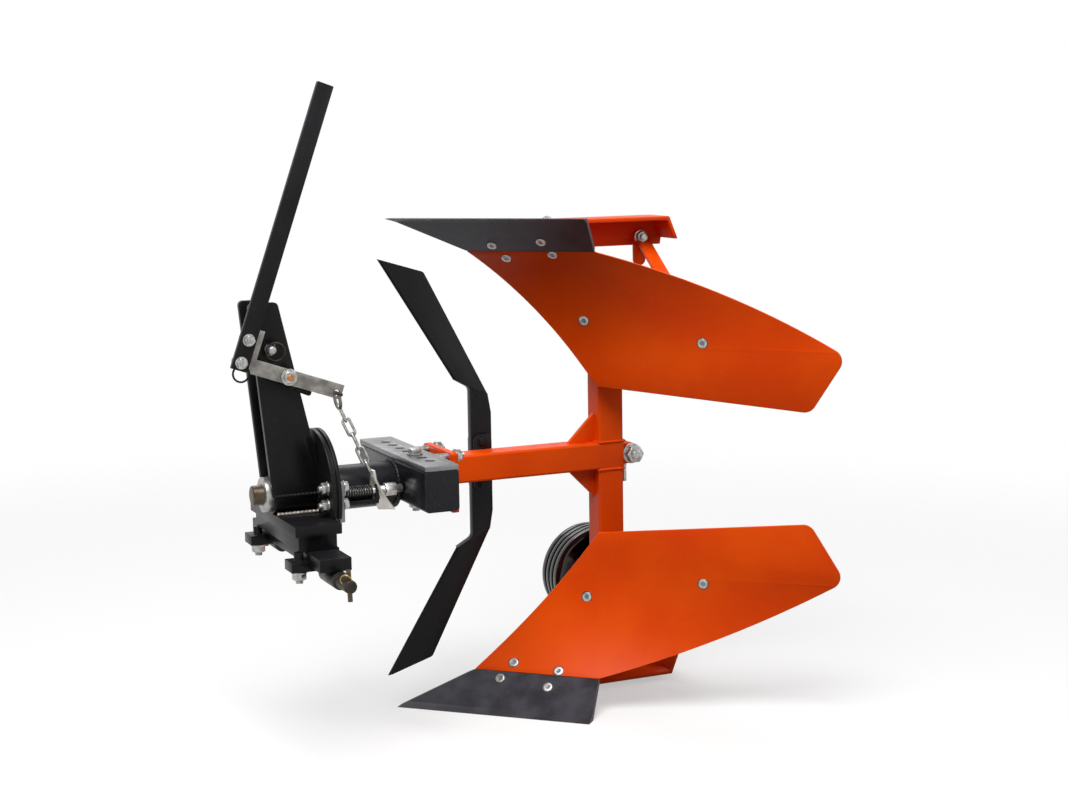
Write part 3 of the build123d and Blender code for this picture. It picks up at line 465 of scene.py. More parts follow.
def turned(radius, bottom, steps, sides=48):
    """A round piece built upward: each step is (rise, scale) of the face on top."""
    bpy.ops.object.select_all(action="DESELECT")
    bpy.ops.mesh.primitive_circle_add(
        vertices=sides, radius=radius, fill_type="NGON", location=(0, 0, bottom)
    )
    bpy.ops.object.mode_set(mode="EDIT")
    bpy.ops.mesh.select_all(action="SELECT")
    for rise, scale in steps:
        bpy.ops.mesh.extrude_region_move(TRANSFORM_OT_translate={"value": (0, 0, rise)})
        bpy.ops.transform.resize(value=(scale, scale, 1))
    bpy.ops.mesh.select_all(action="SELECT")
    bpy.ops.mesh.normals_make_consistent(inside=False)
    bpy.ops.object.mode_set(mode="OBJECT")
    return bpy.context.object


def thread(radius, bottom, top, pitch=1.75 * mm):
    turns = round((top - bottom) / pitch)
    return turned(radius, bottom, [(pitch / 2, thread_depth), (pitch / 2, 1 / thread_depth)] * turns, 32)


def joined(*pieces, edge=0.4 * mm):
    bpy.ops.object.select_all(action="DESELECT")
    for piece in pieces:
        piece.select_set(True)
    bpy.context.view_layer.objects.active = pieces[0]
    bpy.ops.object.join()
    bpy.ops.object.transform_apply(location=True, rotation=True, scale=True)
    round_edges(pieces[0], edge, 40)
    return pieces[0]


# %% The fasteners themselves, for a 12 mm bolt
washer_radius = 12.2 * mm
washer_top = 2.5 * mm
across_flats = 19 * mm
nut_top = 12.5 * mm
head_top = 10 * mm
bolt_radius = 6 * mm
bolt_top = 18 * mm
nut = joined(
    disc(washer_radius, 0, washer_top),
    hexagon(across_flats, washer_top, nut_top),
    thread(bolt_radius, nut_top, bolt_top),
)
bolt_head = joined(disc(washer_radius, 0, washer_top), hexagon(across_flats, washer_top, head_top))
seat_ring = [(1.2 * mm, 1), (0.01 * mm, 0.84), (0.9 * mm, 0.96)]
socket_recess = [(0.15 * mm, 0.5), (-0.6 * mm, 0.9)]
plough_head_radius = 10.4 * mm
# From this radius out, a plough bolt head is painted dark as a shadow ring round it.
shadow_ring_start = 9.5 * mm
# Inside this radius, the head's socket is painted darker as shade in the recess.
socket_shade_end = 4.5 * mm
plough_head = joined(turned(plough_head_radius, -1 * mm, seat_ring + socket_recess), edge=0.1 * mm)
plough_head.data.materials.append(zinc)


def spread(corners):
    """How far from the bolt's axis the corners reach."""
    return max((c.x**2 + c.y**2) ** 0.5 for c in corners)


# Painted shadow: the outer rim of each plough bolt head is dark oiled steel, standing in for the shadow in
# the gap round the head.
second_finish(plough_head, oiled_steel, lambda corners: spread(corners) > shadow_ring_start)
# Painted shade: the socket in the middle of the head is darker plate steel, standing in for the shade in
# the recess.
second_finish(plough_head, plate_steel, lambda corners: spread(corners) < socket_shade_end)
patterns = [nut, bolt_head, plough_head]


def lay(pattern, name, place, facing, body, finish=zinc, size=1.0, turn=0.0):
    only(pattern)
    bpy.ops.object.duplicate()
    piece = bpy.context.object
    upright = Vector(facing).to_track_quat("Z", "Y").to_matrix().to_4x4()
    placed = Matrix.Translation(place) @ upright @ Matrix.Rotation(turn, 4, "Z") @ Matrix.Scale(size, 4)
    piece.data.transform(placed)
    return settle(piece, name, body, finish)


def at(x, y, z):
    """A point in millimetres, with its height measured from the turning axis."""
    return Vector((x * mm, y * mm, axis_height + z * mm))


print("fasteners modelled:", len(patterns))

# %% [markdown]
# ## Bolts through the share and the board
# Both bodies are the same, turned over about the axis. A plough bolt has a flat round head that lies in
# the face, so soil slides past. Each head is dropped onto the nearest point of the finished face and
# tilted to the face there, and its nut is found by looking through the plate from behind.

# %% Where a point of the face lies
share_point = at(209, 136, -446)
edge_turn = radians(43.5)
face_lean = radians(44)
lip_width = 20 * mm
lip_height = 7 * mm
flat_depth = 85 * mm
roll_radius = 256 * mm
along_edge = Vector((cos(edge_turn), -sin(edge_turn), 0))
behind_edge = Vector((sin(edge_turn), cos(edge_turn), 0))
flat_height = lip_height + (flat_depth - lip_width) * tan(face_lean)


def on_body(along, height):
    if height <= flat_height:
        back = lip_width + (height - lip_height) / tan(face_lean)
    else:
        above = height - flat_height - roll_radius * cos(face_lean)
        back = flat_depth - roll_radius * sin(face_lean) + (roll_radius**2 - above**2) ** 0.5
    return share_point + along_edge * along + behind_edge * back + Vector((0, 0, height))


def turned_over(point):
    return Vector((point.x, point.y, 2 * axis_height - point.z))


def back_of(place, facing, nodes, reach=40 * mm):
    start = place - facing * reach
    looks = [finished[node].ray_cast(start, facing, distance=reach) for node in nodes]
    spots = [spot for hit, spot, normal, face in looks if hit]
    return min(spots, key=lambda spot: (spot - start).length)


# %% Lay the plough bolts on both bodies
nut_turn = 0.4
face_bolts = {
    "moldboard": [(318, 191), (536, 228), (196, 75), (285, 68)],
    "share": [(178, 51), (272, 44)],
}
for side in ("lower", "upper"):
    for plate, spots in face_bolts.items():
        node = f"{plate}_{side}"
        for number, (along, height) in enumerate(spots, 1):
            guess = on_body(along * mm, height * mm)
            if side == "upper":
                guess = turned_over(guess)
            hit, spot, facing, face = finished[node].closest_point_on_mesh(guess)
            lay(plough_head, f"{plate}_bolt_{side}_{number}", spot, facing, "plough_frame", None)
            if (plate, number) != ("moldboard", 2):
                seat = back_of(spot, facing, (node, f"frog_{side}"))
                turn = nut_turn * number
                lay(nut, f"{plate}_nut_{side}_{number}", seat, -facing, "plough_frame", turn=turn)
print("plough bolts on each body:", sum(map(len, face_bolts.values())))

# %% [markdown]
# ## Nuts and bolts on the frame
# The rest sit square on flat faces, so each needs only its seat and the way that it faces.

# %% Find the seats on the solids
near_way, far_way = Vector((0, -1, 0)), Vector((0, 1, 0))
front_way, rear_way = Vector((-1, 0, 0)), Vector((1, 0, 0))
up_way, down_way = Vector((0, 0, 1)), Vector((0, 0, -1))
lever_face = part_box("hand_lever")[0].y / mm
crank_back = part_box("bell_crank")[1].y / mm
disc_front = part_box("index_disc")[0].x / mm
lock_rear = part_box("lock_plate")[1].x / mm
top_low, top_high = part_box("cross_top_plate")
tube_bottom = (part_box("cross_tube")[0].z - axis_height) / mm
plate_top = (top_high.z - axis_height) / mm
plate_middle = (top_low.x + top_high.x) / 2 / mm
flange_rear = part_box("beam_flange")[1].x / mm
knife_low, knife_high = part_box("knife_pad")
knife_middle = (knife_low.x + knife_high.x) / 2 / mm
clamp_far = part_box("knife_clamp")[1].y / mm
lug_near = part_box("wheel_lug")[0].y / mm
pin_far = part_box("wheel_pin")[1].y / mm
pin_x = (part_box("wheel_pin")[0].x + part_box("wheel_pin")[1].x) / 2 / mm
mast_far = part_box("mast_plate_right")[1].y / mm
axle_low, axle_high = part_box("wheel_axle")
axle_height = ((axle_low.z + axle_high.z) / 2 - axis_height) / mm
print("wheel pin at", round(pin_x, 1), "mm, axle at", round(axle_height, 1), "mm from the turning axis")

# %% Fasteners of the lever and the lock
lever_bolts = [(-100.5, 268.8), (-114.3, 232.4)]
lock_line = -79
lock_bolt_heights = [16, -13]
for number, (x, z) in enumerate(lever_bolts, 1):
    lay(nut, f"lever_nut_{number}", at(x, lever_face, z), near_way, "headstock", size=0.84, turn=0.3)
    lay(bolt_head, f"lever_bolt_{number}", at(x, crank_back, z), far_way, "headstock", size=0.92)
for number, z in enumerate(lock_bolt_heights, 1):
    front_seat = at(disc_front, lock_line, z)
    rear_seat = at(lock_rear, lock_line, z)
    lay(nut, f"lock_plate_nut_{number}", front_seat, front_way, "headstock", size=0.95)
    lay(bolt_head, f"lock_plate_bolt_{number}", rear_seat, rear_way, "headstock", size=0.85)

# %% Fasteners of the cross tube and the knives
shift_line = -36
stud_places = [(47, 44.5), (-43, 44.5), (47, -30), (-16, -30)]
knife_bolt_heights = [40, -40]
shift_seat = at(plate_middle, shift_line, plate_top)
lay(bolt_head, "shift_bolt", shift_seat, up_way, "plough_frame", size=1.1, turn=0.2)
lay(nut, "shift_nut", at(plate_middle, shift_line, tube_bottom), down_way, "plough_frame", size=1.1)
for number, (y, z) in enumerate(stud_places, 1):
    lay(nut, f"clamp_nut_{number}", at(flange_rear, y, z), rear_way, "plough_frame", size=0.95)
for number, z in enumerate(knife_bolt_heights, 1):
    head = at(knife_middle, knife_low.y / mm, z)
    lay(bolt_head, f"knife_bolt_{number}", head, near_way, "plough_frame", black_paint, 0.9)
    lay(nut, f"knife_nut_{number}", at(knife_middle, clamp_far, z), far_way, "plough_frame", size=0.9)

# %% Fasteners of the wheel, the mast, the crossbar and the landsides
lever_pivot_x, lever_pivot_z = -32, 202.5
crossbar_clamp_lines = [-117, 117]
crossbar_clamp_x, crossbar_clamp_bottom = -46, -109.3
landside_bolt_x = [430, 500, 567]
landside_bolt_height = -408
head_sink = 2
axle_nut_sink = 8
lay(nut, "wheel_pin_nut", at(pin_x, lug_near, 0), near_way, "plough_frame", size=1.55, turn=0.5)
lay(bolt_head, "wheel_pin_head", at(pin_x, pin_far - head_sink, 0), far_way, "plough_frame", size=1.5)
lay(nut, "lever_pivot_nut", at(lever_pivot_x, mast_far, lever_pivot_z), far_way, "headstock")
for number, y in enumerate(crossbar_clamp_lines, 1):
    place = at(crossbar_clamp_x, y, crossbar_clamp_bottom)
    lay(nut, f"crossbar_clamp_nut_{number}", place, down_way, "headstock", size=1.1)
axle_seat = at(pin_x, axle_high.y / mm - axle_nut_sink, axle_height)
lay(nut, "axle_nut", axle_seat, far_way, "wheel_arm", size=1.2)
for side, flip in (("lower", 1), ("upper", -1)):
    landside_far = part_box(f"landside_{side}")[1].y / mm
    for number, x in enumerate(landside_bolt_x, 1):
        place = at(x, landside_far, landside_bolt_height * flip)
        lay(plough_head, f"landside_bolt_{side}_{number}", place, far_way, "plough_frame", None, size=1.1)
print("square-on fasteners laid")

# %% [markdown]
# ## Bent wire, springs and welds
# Wire is a round section run along a line: a helix for the spring, a circle for a ring, a straight run or
# a loop for a weld. A weld's ripples come from letting the section swell and shrink from point to point.

# %% Run a round section along a line
ripple_step = 2.2


def wire(points, radius, closed=False, ripple=0.0):
    line = bpy.data.curves.new("wire", "CURVE")
    line.dimensions = "3D"
    line.bevel_depth = radius
    line.bevel_resolution = 3
    line.use_fill_caps = True
    spline = line.splines.new("POLY")
    spline.points.add(len(points) - 1)
    for number, (point, place) in enumerate(zip(spline.points, points)):
        point.co = (*place, 1)
        point.radius = 1 + ripple * sin(ripple_step * number)
    spline.use_cyclic_u = closed
    piece = bpy.data.objects.new("wire", line)
    bpy.context.collection.objects.link(piece)
    only(piece)
    bpy.ops.object.convert(target="MESH")
    bpy.ops.object.shade_smooth()
    return bpy.context.object


def tube(name, points, radius, body, finish, closed=False, ripple=0.0):
    return settle(wire(points, radius, closed, ripple), name, body, finish)


def ring(middle, axis, radius, count):
    turned_to = Vector(axis).to_track_quat("Z", "Y")
    turns = [2 * pi * step / count for step in range(count)]
    return [middle + turned_to @ Vector((radius * cos(turn), radius * sin(turn), 0)) for turn in turns]


def run(corners, step):
    """Points every step along straight runs from corner to corner."""
    points = []
    for first, last in zip(corners, corners[1:]):
        count = max(1, round((last - first).length / step))
        points += [first.lerp(last, number / count) for number in range(count)]
    return points + [corners[-1]]


# %% The lock spring and the lever's wire loop
spring_low, spring_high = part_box("lock_spring")
spring_wire = 1.7 * mm
coil_radius = (spring_high.z - spring_low.z) / 2 - spring_wire
spring_turns = 11
coil_points = 24
spring_middle = (spring_low + spring_high) / 2
coils = []
for step in range(spring_turns * coil_points + 1):
    progress = step / (spring_turns * coil_points)
    turn = 2 * pi * spring_turns * progress
    x = spring_low.x + spring_wire + (spring_high.x - spring_low.x - 2 * spring_wire) * progress
    y = spring_middle.y + coil_radius * cos(turn)
    z = spring_middle.z + coil_radius * sin(turn)
    coils.append(Vector((x, y, z)))
bpy.data.objects.remove(finished.pop("lock_spring"))
spring = tube("lock_spring_coil", coils, spring_wire, "headstock", oiled_steel)
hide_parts("lock_spring")
loop_radius = 13.5 * mm
loop_wire = 1.7 * mm
loop = ring(at(-114, lever_face + 5, 214), near_way, loop_radius, 40)
tube("lever_loop", loop, loop_wire, "headstock", black_paint, closed=True)
print("spring of", spring_turns, "turns, coil radius", round(coil_radius / mm, 1), "mm")

# %% [markdown]
# The lock is pulled by a short strap, bent towards the near side and twisted into a foot at its end. It is
# drawn as one edge, pushed along its bend from point to point and turned a little at each. Then it gets its
# thickness and the eye that the chain holds. Each point is x, the lean to the near side, and height.

# %% Bend the pull strip
strip_low, strip_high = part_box("pull_strip")
strip_width = strip_high.y - strip_low.y
strip_thickness = 4 * mm
strip_middle = (strip_low.y + strip_high.y) / 2 / mm
strip_eye = at(107.5, strip_middle, 25)
eye_radius = 5.5 * mm
eye_reach = 10 * mm
bend = [
    (106, 0, 36), (108.5, 0, 20), (110.5, 1, 10), (112.5, 3, 0),
    (115.5, 7, -10), (119.5, 13, -20), (124, 20, -30),
]
bends = [at(x, strip_middle - lean, z) for x, lean, z in bend]
twist = radians(62)
flare = 1.2
straight_steps = 1
twisted_steps = len(bends) - 1 - straight_steps
bpy.ops.object.select_all(action="DESELECT")
bpy.ops.mesh.primitive_plane_add(size=strip_width, location=bends[0])
strap = bpy.context.object
bpy.ops.object.mode_set(mode="EDIT")
bpy.ops.mesh.select_all(action="SELECT")
bpy.ops.transform.resize(value=(0, 1, 1))
bpy.ops.mesh.remove_doubles(threshold=0.1 * mm)
for step, (first, last) in enumerate(zip(bends, bends[1:])):
    bpy.ops.mesh.extrude_region_move(TRANSFORM_OT_translate={"value": last - first})
    if step >= straight_steps:
        bpy.ops.transform.rotate(value=-twist / twisted_steps, orient_axis="Z", center_override=last)
        growth = flare ** (1 / twisted_steps)
        bpy.ops.transform.resize(value=(growth, growth, 1), center_override=last)
bpy.ops.object.mode_set(mode="OBJECT")
bpy.ops.object.transform_apply(location=True, rotation=True, scale=True)
add_modifier(strap, "SOLIDIFY", thickness=strip_thickness, offset=0)
eye = disc(eye_radius, -eye_reach, eye_reach)
eye.rotation_euler = (0, pi / 2, 0)
eye.location = strip_eye
bpy.context.view_layer.update()
add_modifier(strap, "BOOLEAN", operation="DIFFERENCE", object=eye, solver="EXACT")
bpy.data.objects.remove(eye)
only(strap)
bpy.ops.object.mode_set(mode="EDIT")
bpy.ops.mesh.select_all(action="SELECT")
bpy.ops.mesh.normals_make_consistent(inside=False)
bpy.ops.object.mode_set(mode="OBJECT")
round_edges(strap, 0.6 * mm)
bpy.data.objects.remove(finished.pop("pull_strip"))
settle(strap, "pull_strip_finished", "headstock", strap_steel)
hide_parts("pull_strip")
print("strap bent over", len(bends), "points")

# %% [markdown]
# The chain hangs from a shackle: a stirrup of thick wire with a pin through the crank's end. Each link is a
# bent loop, and every second one is turned a quarter about the chain's run.

# %% Hang the shackle
crank_eye = at(49.8, -48, 169.8)
stirrup_reach = 27 * mm
stirrup_half = 14 * mm
stirrup_wire = 2.8 * mm
stirrup_steps = 16
shackle_pin_near = 26 * mm
shackle_pin_far = 19 * mm
shackle_pin_radius = 3.2 * mm
hang = Vector((0.16, 0, -1)).normalized()
stirrup = [crank_eye - far_way * stirrup_half]
for step in range(stirrup_steps + 1):
    turn = pi * step / stirrup_steps
    drop = stirrup_reach - stirrup_half + stirrup_half * sin(turn)
    stirrup.append(crank_eye + hang * drop - far_way * stirrup_half * cos(turn))
stirrup.append(crank_eye + far_way * stirrup_half)
tube("shackle", stirrup, stirrup_wire, "headstock", galvanised)
pin_ends = [crank_eye - far_way * shackle_pin_near, crank_eye + far_way * shackle_pin_far]
shackle_pin = run(pin_ends, 4 * mm)
tube("shackle_pin", shackle_pin, shackle_pin_radius, "headstock", browned_steel)

# %% Bend the links and hang them between the shackle and the strap
link_count = 5
link_steps = 32
into_picture = Vector((0.41, 0.9, -0.14))
link_wire = 2.4 * mm
link_half = 6 * mm
chain_top = crank_eye + hang * (stirrup_reach - 2 * link_wire)
chain_run = strip_eye - chain_top
link_reach = chain_run.length / link_count / 2 + link_wire
along = chain_run.normalized()
broad = along.cross(into_picture).normalized()
links = []
for number in range(link_count):
    middle = chain_top + chain_run * ((number + 0.5) / link_count)
    across = broad if number % 2 else broad.cross(along)
    bow = []
    for step in range(link_steps):
        turn = 2 * pi * (step + 0.5) / link_steps
        straight = link_reach - link_half if sin(turn) > 0 else link_half - link_reach
        bow.append(middle + across * link_half * cos(turn) + along * (link_half * sin(turn) + straight))
    links.append(wire(bow, link_wire, closed=True))
bpy.data.objects.remove(finished.pop("lock_chain"))
chain = joined(*links, edge=0)
settle(chain, "lock_chain_finished", "headstock", zinc)
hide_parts("lock_chain")
print("chain links", link_count, "of", round(2 * (link_reach + link_wire) / mm, 1), "mm")

# %% [markdown]
# ## Pins with linch rings
# The link pins are held by linch pins: a short peg through the pin's end, with a sprung ring that folds
# over so that it can't fall out. Peg and ring are wire again.

# %% Linch pins on the lower link pins
pin_end = 231
peg_step = 5 * mm
peg_radius = 4 * mm
ring_wire = 1.5 * mm
link_ring_radius = 9 * mm
for name, y, lean in (("near", -pin_end, 0.35), ("far", pin_end, -0.35)):
    peg_line = run([at(0, y, -88), at(2, y, -140)], peg_step)
    tube(f"linch_peg_{name}", peg_line, peg_radius, "headstock", bare_steel)
    hoop = ring(at(-5, y - lean * 6, -104), Vector((0.8, 1, lean)), link_ring_radius, 40)
    tube(f"linch_ring_{name}", hoop, ring_wire, "headstock", brass, closed=True)

# %% The top link's pin, with its own peg and ring
top_pin_x, top_pin_z = -58, 248
top_pin_radius = 9.4 * mm
top_head_radius = 14 * mm
top_peg_radius = 2.4 * mm
top_ring_radius = 15 * mm
top_pin = run([at(top_pin_x, -40, top_pin_z), at(top_pin_x, 54, top_pin_z)], 8 * mm)
tube("top_link_pin", top_pin, top_pin_radius, "headstock", turned_steel)
end_steps = [(2 * mm, 0.72), (12 * mm, 1), (2 * mm, 0.75)]
top_end = joined(turned(top_pin_radius, 0, end_steps), edge=0.6 * mm)
top_head = joined(disc(top_head_radius, 0, 6 * mm), edge=1.2 * mm)
patterns += [top_end, top_head]
end_seat = at(top_pin_x, -38, top_pin_z)
head_seat = at(top_pin_x, 52, top_pin_z)
lay(top_end, "top_link_pin_end", end_seat, near_way, "headstock", turned_steel)
lay(top_head, "top_link_pin_head", head_seat, far_way, "headstock", bare_steel)
top_peg = run([at(-52, -45, 258), at(-63, -45, 240)], peg_step)
tube("top_peg", top_peg, top_peg_radius, "headstock", bare_steel)
hoop = ring(at(-51, -46, 245), Vector((0.25, 1, 0.1)), top_ring_radius, 48)
tube("top_ring", hoop, ring_wire, "headstock", browned_steel, closed=True)
print("top link pin of", round(2 * top_pin_radius / mm, 1), "mm")

# %% [markdown]
# ## Bushing and stop peg
# The lever and its crank turn on a stepped bushing with a coppery bolt end, and a short peg behind the mast
# stops the crank. Both are lathe work, so they are pushed up from a disc in steps, as the screw ends are.

# %% Turn the bushing, its bolt end and the peg
crank_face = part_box("bell_crank")[0].y / mm
bushing = joined(turned(14 * mm, 0, [(3 * mm, 1), (0.1 * mm, 0.72), (5 * mm, 1), (0.6 * mm, 0.9)]))
bolt_end = joined(turned(5.5 * mm, 0, [(4 * mm, 1), (1.2 * mm, 0.8)]))
peg = joined(turned(5 * mm, -6 * mm, [(24 * mm, 1), (2 * mm, 0.9), (1.4 * mm, 0.7)]))
patterns += [bushing, bolt_end, peg]
bushing_height = 8.5
bushing_seat = at(lever_pivot_x, crank_face, lever_pivot_z)
bolt_end_seat = at(lever_pivot_x, crank_face - bushing_height, lever_pivot_z)
lay(bushing, "lever_bushing", bushing_seat, near_way, "headstock")
lay(bolt_end, "lever_bolt_end", bolt_end_seat, near_way, "headstock", copper)
stop_way = Vector((0.92, 0, -0.39))
lay(peg, "crank_stop", at(-9, -32, 178), stop_way, "headstock", black_paint)

# %% [markdown]
# ## The struts' ears
# Each strut is held to the landside by a flat ear with round ends. A round is a disc, and an ear is a disc
# with one half drawn away from the other, so the half is picked by its height and moved.

# %% Draw out the ears and bolt them on
ear_width = 24 * mm
ear_draw = 42 * mm
ear_thickness = 8 * mm
strut_bolt_x, strut_bolt_height = 708, -396
for side, flip in (("lower", 1), ("upper", -1)):
    landside_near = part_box(f"frog_{side}")[1].y
    bolt_place = at(strut_bolt_x, 0, strut_bolt_height * flip)
    bpy.ops.object.select_all(action="DESELECT")
    bpy.ops.mesh.primitive_cylinder_add(
        vertices=64, radius=ear_width / 2, depth=ear_thickness, rotation=(pi / 2, 0, 0),
        location=(bolt_place.x, landside_near - ear_thickness / 2, bolt_place.z),
    )
    ear = bpy.context.object
    bpy.ops.object.transform_apply(location=True, rotation=True, scale=True)
    bpy.ops.object.mode_set(mode="EDIT")
    bpy.ops.mesh.select_mode(type="VERT")
    bpy.ops.mesh.select_all(action="DESELECT")
    bpy.ops.object.mode_set(mode="OBJECT")
    for vertex in ear.data.vertices:
        vertex.select = (vertex.co.z - bolt_place.z) * flip > 0
    bpy.ops.object.mode_set(mode="EDIT")
    bpy.ops.transform.translate(value=(0, 0, ear_draw * flip))
    bpy.ops.object.mode_set(mode="OBJECT")
    round_edges(ear, 1 * mm)
    settle(ear, f"strut_ear_{side}", "plough_frame", orange_paint)
    seat = Vector((bolt_place.x, landside_near - ear_thickness, bolt_place.z))
    lay(nut, f"strut_nut_{side}", seat, near_way, "plough_frame")
print("ears of", round((ear_width + ear_draw) / mm), "mm")

# %% [markdown]
# ## Clamp studs and welds
# Four studs draw the beam's flange onto the cross tube. Welds run round the seams of the headstock, the
# torque tube, the beam, the leg and the wheel's lug.

# %% The clamp studs
tube_front, tube_rear = top_low.x / mm, top_high.x / mm
stud_radius = 5.8 * mm
stud_grip = 14
stud_end = 8
for number, (y, z) in enumerate(stud_places, 1):
    stud = run([at(tube_rear - stud_grip, y, z), at(flange_rear + stud_end, y, z)], 6 * mm)
    tube(f"clamp_stud_{number}", stud, stud_radius, "plough_frame", zinc)

# %% A weld along a line and round a tube
bead = 3.2 * mm
bead_step = 2.4 * mm
ripple_depth = 0.22
orange = (orange_paint, "orange_paint")
black = (black_paint, "black_paint")
grey = (grey_paint, "grey_paint")
unpainted = (weld_steel, "bare_steel")


def weld(name, corners, body, finish, slot, size=bead):
    tube(name, run(corners, bead_step), size, body, finish, ripple=ripple_depth)


def weld_ring(name, middle, axis, radius, body, finish, slot, size=bead):
    count = 2 * round(pi * radius / bead_step)
    seam = ring(middle, axis, radius, count)
    tube(name, seam, size, body, finish, closed=True, ripple=ripple_depth)


# %% Welds of the headstock and the torque tube
tube_seam_radius, tube_bead = 38.5 * mm, 4 * mm
housing_seam_radius = 33.5 * mm
base_seam_half, base_seam_height = 27, -31
mast_seam_half, mast_seam_height = 34, 1
crossbar_seam_half, crossbar_seam_height = 122, -77.3
seam_rear = 18
crossbar_bead = 2.6 * mm
tube_seam = at(tube_front, 0, 0)
weld_ring("weld_torque_tube", tube_seam, rear_way, tube_seam_radius, "plough_frame", *grey, tube_bead)
housing_seam = at(disc_front, 0, 0)
weld_ring("weld_housing_disc", housing_seam, rear_way, housing_seam_radius, "headstock", *black)
for name, y in (("near", -base_seam_half), ("far", base_seam_half)):
    seam = [at(-52, y, base_seam_height), at(seam_rear, y, base_seam_height)]
    weld(f"weld_base_{name}", seam, "headstock", *unpainted)
for name, y in (("near", -mast_seam_half), ("far", mast_seam_half)):
    seam = [at(-58, y, mast_seam_height), at(seam_rear, y, mast_seam_height)]
    weld(f"weld_mast_{name}", seam, "headstock", *black)
for name, x in (("front", -34), ("rear", 20)):
    seam = [at(x, y, crossbar_seam_height) for y in (-crossbar_seam_half, crossbar_seam_half)]
    weld(f"weld_crossbar_{name}", seam, "headstock", *black, crossbar_bead)


# %% Welds of the beam, the leg and the wheel's lug
def square(first, last, place):
    """The four corners round the beam or the leg, and back to the first."""
    ends = (first, last)
    turns = [(0, 0), (1, 0), (1, 1), (0, 1), (0, 0)]
    return [place(ends[across][0], ends[up][1]) for across, up in turns]


beam_half = 25
leg_seam_height = 25.6
leg_bead = 2.2 * mm
lug_half = 17
beam_y = (beam_low.y / mm, beam_high.y / mm)
leg_x = (leg_low.x / mm, leg_high.x / mm)
leg_end = (leg_high.z - axis_height) / mm
leg_seams = {
    "lower": -leg_end,
    "upper": leg_end,
    "below_beam": -leg_seam_height,
    "above_beam": leg_seam_height,
}
beam_corners = ((beam_y[0], -beam_half), (beam_y[1], beam_half))
corners = square(*beam_corners, lambda y, z: at(beam_low.x / mm, y, z))
weld("weld_beam_front", corners, "plough_frame", *orange)
for name, z in leg_seams.items():
    corners = square((leg_x[0], beam_y[0]), (leg_x[1], beam_y[1]), lambda x, y: at(x, y, z))
    weld(f"weld_leg_{name}", corners, "plough_frame", *orange, leg_bead)
for name, y in (("near", lug_near), ("far", beam_y[1])):
    seam = [at(leg_x[1], y, -lug_half), at(leg_x[1], y, lug_half)]
    weld(f"weld_lug_{name}", seam, "plough_frame", *orange)

# %% Clear away the patterns
for pattern in patterns:
    bpy.data.objects.remove(pattern)

# %% [markdown]
# ## Floor, light and camera
# The picture was taken on white, so a pale floor fades into a white surround that only the camera sees.
# The light itself is soft: a broad lamp over the left shoulder, weaker ones to the right and behind, and a
# dim sky that is brighter overhead.

# %% The floor
floor_radius = 6
fade_start, fade_end = 1.0, 3.2
dim_floor, shown_floor = (0.1, 0.1, 0.1, 1), (0.5, 0.5, 0.5, 1)
no_glow, shown_glow = (0, 0, 0, 1), (0.46, 0.46, 0.46, 1)
bpy.ops.object.select_all(action="DESELECT")
bpy.ops.mesh.primitive_circle_add(
    vertices=96, radius=floor_radius, fill_type="NGON", location=(0, 0, floor_height)
)
floor = bpy.context.object
floor.name = "studio_floor"
floor_finish = Finish("studio_floor")
shown_part = floor_finish.seen()
floor_finish.set(Base_Color=floor_finish.mix(shown_part, dim_floor, shown_floor), Roughness=0.85)
floor_finish.set(Emission_Color=floor_finish.mix(shown_part, no_glow, shown_glow), Emission_Strength=1)
away = floor_finish.node("ShaderNodeVectorMath", {"operation": "LENGTH"}, {0: floor_finish.place}, "Value")
floor_finish.set(Alpha=1 - away.ramp(fade_start, fade_end))
floor.data.materials.append(floor_finish.material)
print("floor fades out between", fade_start, "and", fade_end, "m")

# %% The surround
sky_below, sky_overhead = 0.02, 0.3
world = bpy.data.worlds.new("studio")
bpy.context.scene.world = world
world.use_nodes = True
sky = world.node_tree
shown = sky.nodes.new("ShaderNodeBackground")
shown.inputs["Color"].default_value = (1, 1, 1, 1)
shown.inputs["Strength"].default_value = 1
lit = sky.nodes["Background"]
lit.inputs["Color"].default_value = (1, 1, 1, 1)
direction = sky.nodes.new("ShaderNodeTexCoord")
steepness = sky.nodes.new("ShaderNodeSeparateXYZ")
sky.links.new(direction.outputs["Generated"], steepness.inputs[0])
overhead = sky.nodes.new("ShaderNodeMapRange")
for socket, value in ((1, -1), (2, 1), (3, sky_below), (4, sky_overhead)):
    overhead.inputs[socket].default_value = value
sky.links.new(steepness.outputs["Z"], overhead.inputs[0])
sky.links.new(overhead.outputs[0], lit.inputs["Strength"])
path = sky.nodes.new("ShaderNodeLightPath")
rays = path.outputs["Is Camera Ray"]
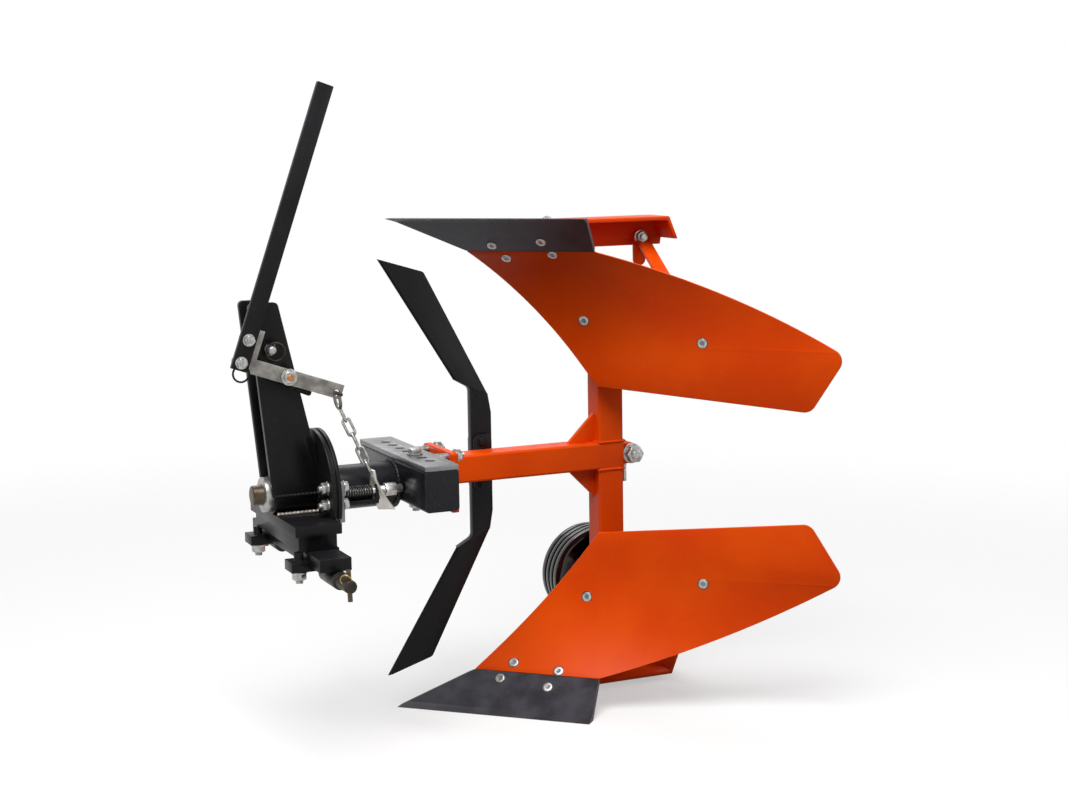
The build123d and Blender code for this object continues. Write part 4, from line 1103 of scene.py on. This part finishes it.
for kind in ("Glossy", "Transmission"):
    seen = sky.nodes.new("ShaderNodeMath")
    seen.operation = "MAXIMUM"
    sky.links.new(rays, seen.inputs[0])
    sky.links.new(path.outputs[f"Is {kind} Ray"], seen.inputs[1])
    rays = seen.outputs[0]
pick = sky.nodes.new("ShaderNodeMixShader")
sky.links.new(rays, pick.inputs["Fac"])
sky.links.new(lit.outputs[0], pick.inputs[1])
sky.links.new(shown.outputs[0], pick.inputs[2])
sky.links.new(pick.outputs[0], sky.nodes["World Output"].inputs["Surface"])


# %% The lamps
def lamp(name, place, aim, size, power):
    bpy.ops.object.light_add(type="AREA", location=place)
    made = bpy.context.object
    made.name = name
    made.data.shape = "DISK"
    made.data.size = size
    made.data.energy = power
    made.rotation_euler = (Vector(aim) - Vector(place)).to_track_quat("-Z", "Y").to_euler()


plough_middle = (cad_box[0] + cad_box[1]) / 2
lamp("key", (-0.75, -1.35, 3.05), plough_middle, 2.4, 128)
lamp("fill", (2.4, -1.6, 1.4), plough_middle, 1.6, 10)
lamp("back", (0.6, 2.4, 2.4), plough_middle, 1.6, 22)
print("lamps aimed at", [round(c, 2) for c in plough_middle])

# %% [markdown]
# ## The camera
# Its place was worked out from the picture: straight edges that run along the machine's three directions
# give the lens and the turn, and the known size of the pieces gives the distance.

# %% Set the camera
lens_pixels = 1923.5
picture_width = 1068
sensor_width = 36
camera_place = Vector((-0.9564, -3.0737, 0.7310))
pan = radians(24.32)
dip = radians(8.34)
roll = radians(0.91)
ahead = Vector((sin(pan) * cos(dip), cos(pan) * cos(dip), -sin(dip)))
level_right = Vector((cos(pan), -sin(pan), 0))
level_down = ahead.cross(level_right)
picture_right = level_right * cos(roll) + level_down * sin(roll)
picture_up = level_right * sin(roll) - level_down * cos(roll)
bpy.ops.object.camera_add()
camera = bpy.context.object
camera.name = "studio_camera"
camera_turn = Matrix((picture_right, picture_up, -ahead)).transposed()
camera.matrix_world = Matrix.Translation(camera_place) @ camera_turn.to_4x4()
camera.data.sensor_width = sensor_width
camera.data.lens = lens_pixels * sensor_width / picture_width
bpy.context.scene.camera = camera
bpy.context.scene.view_settings.view_transform = "Standard"
print("lens", round(camera.data.lens, 1), "mm")
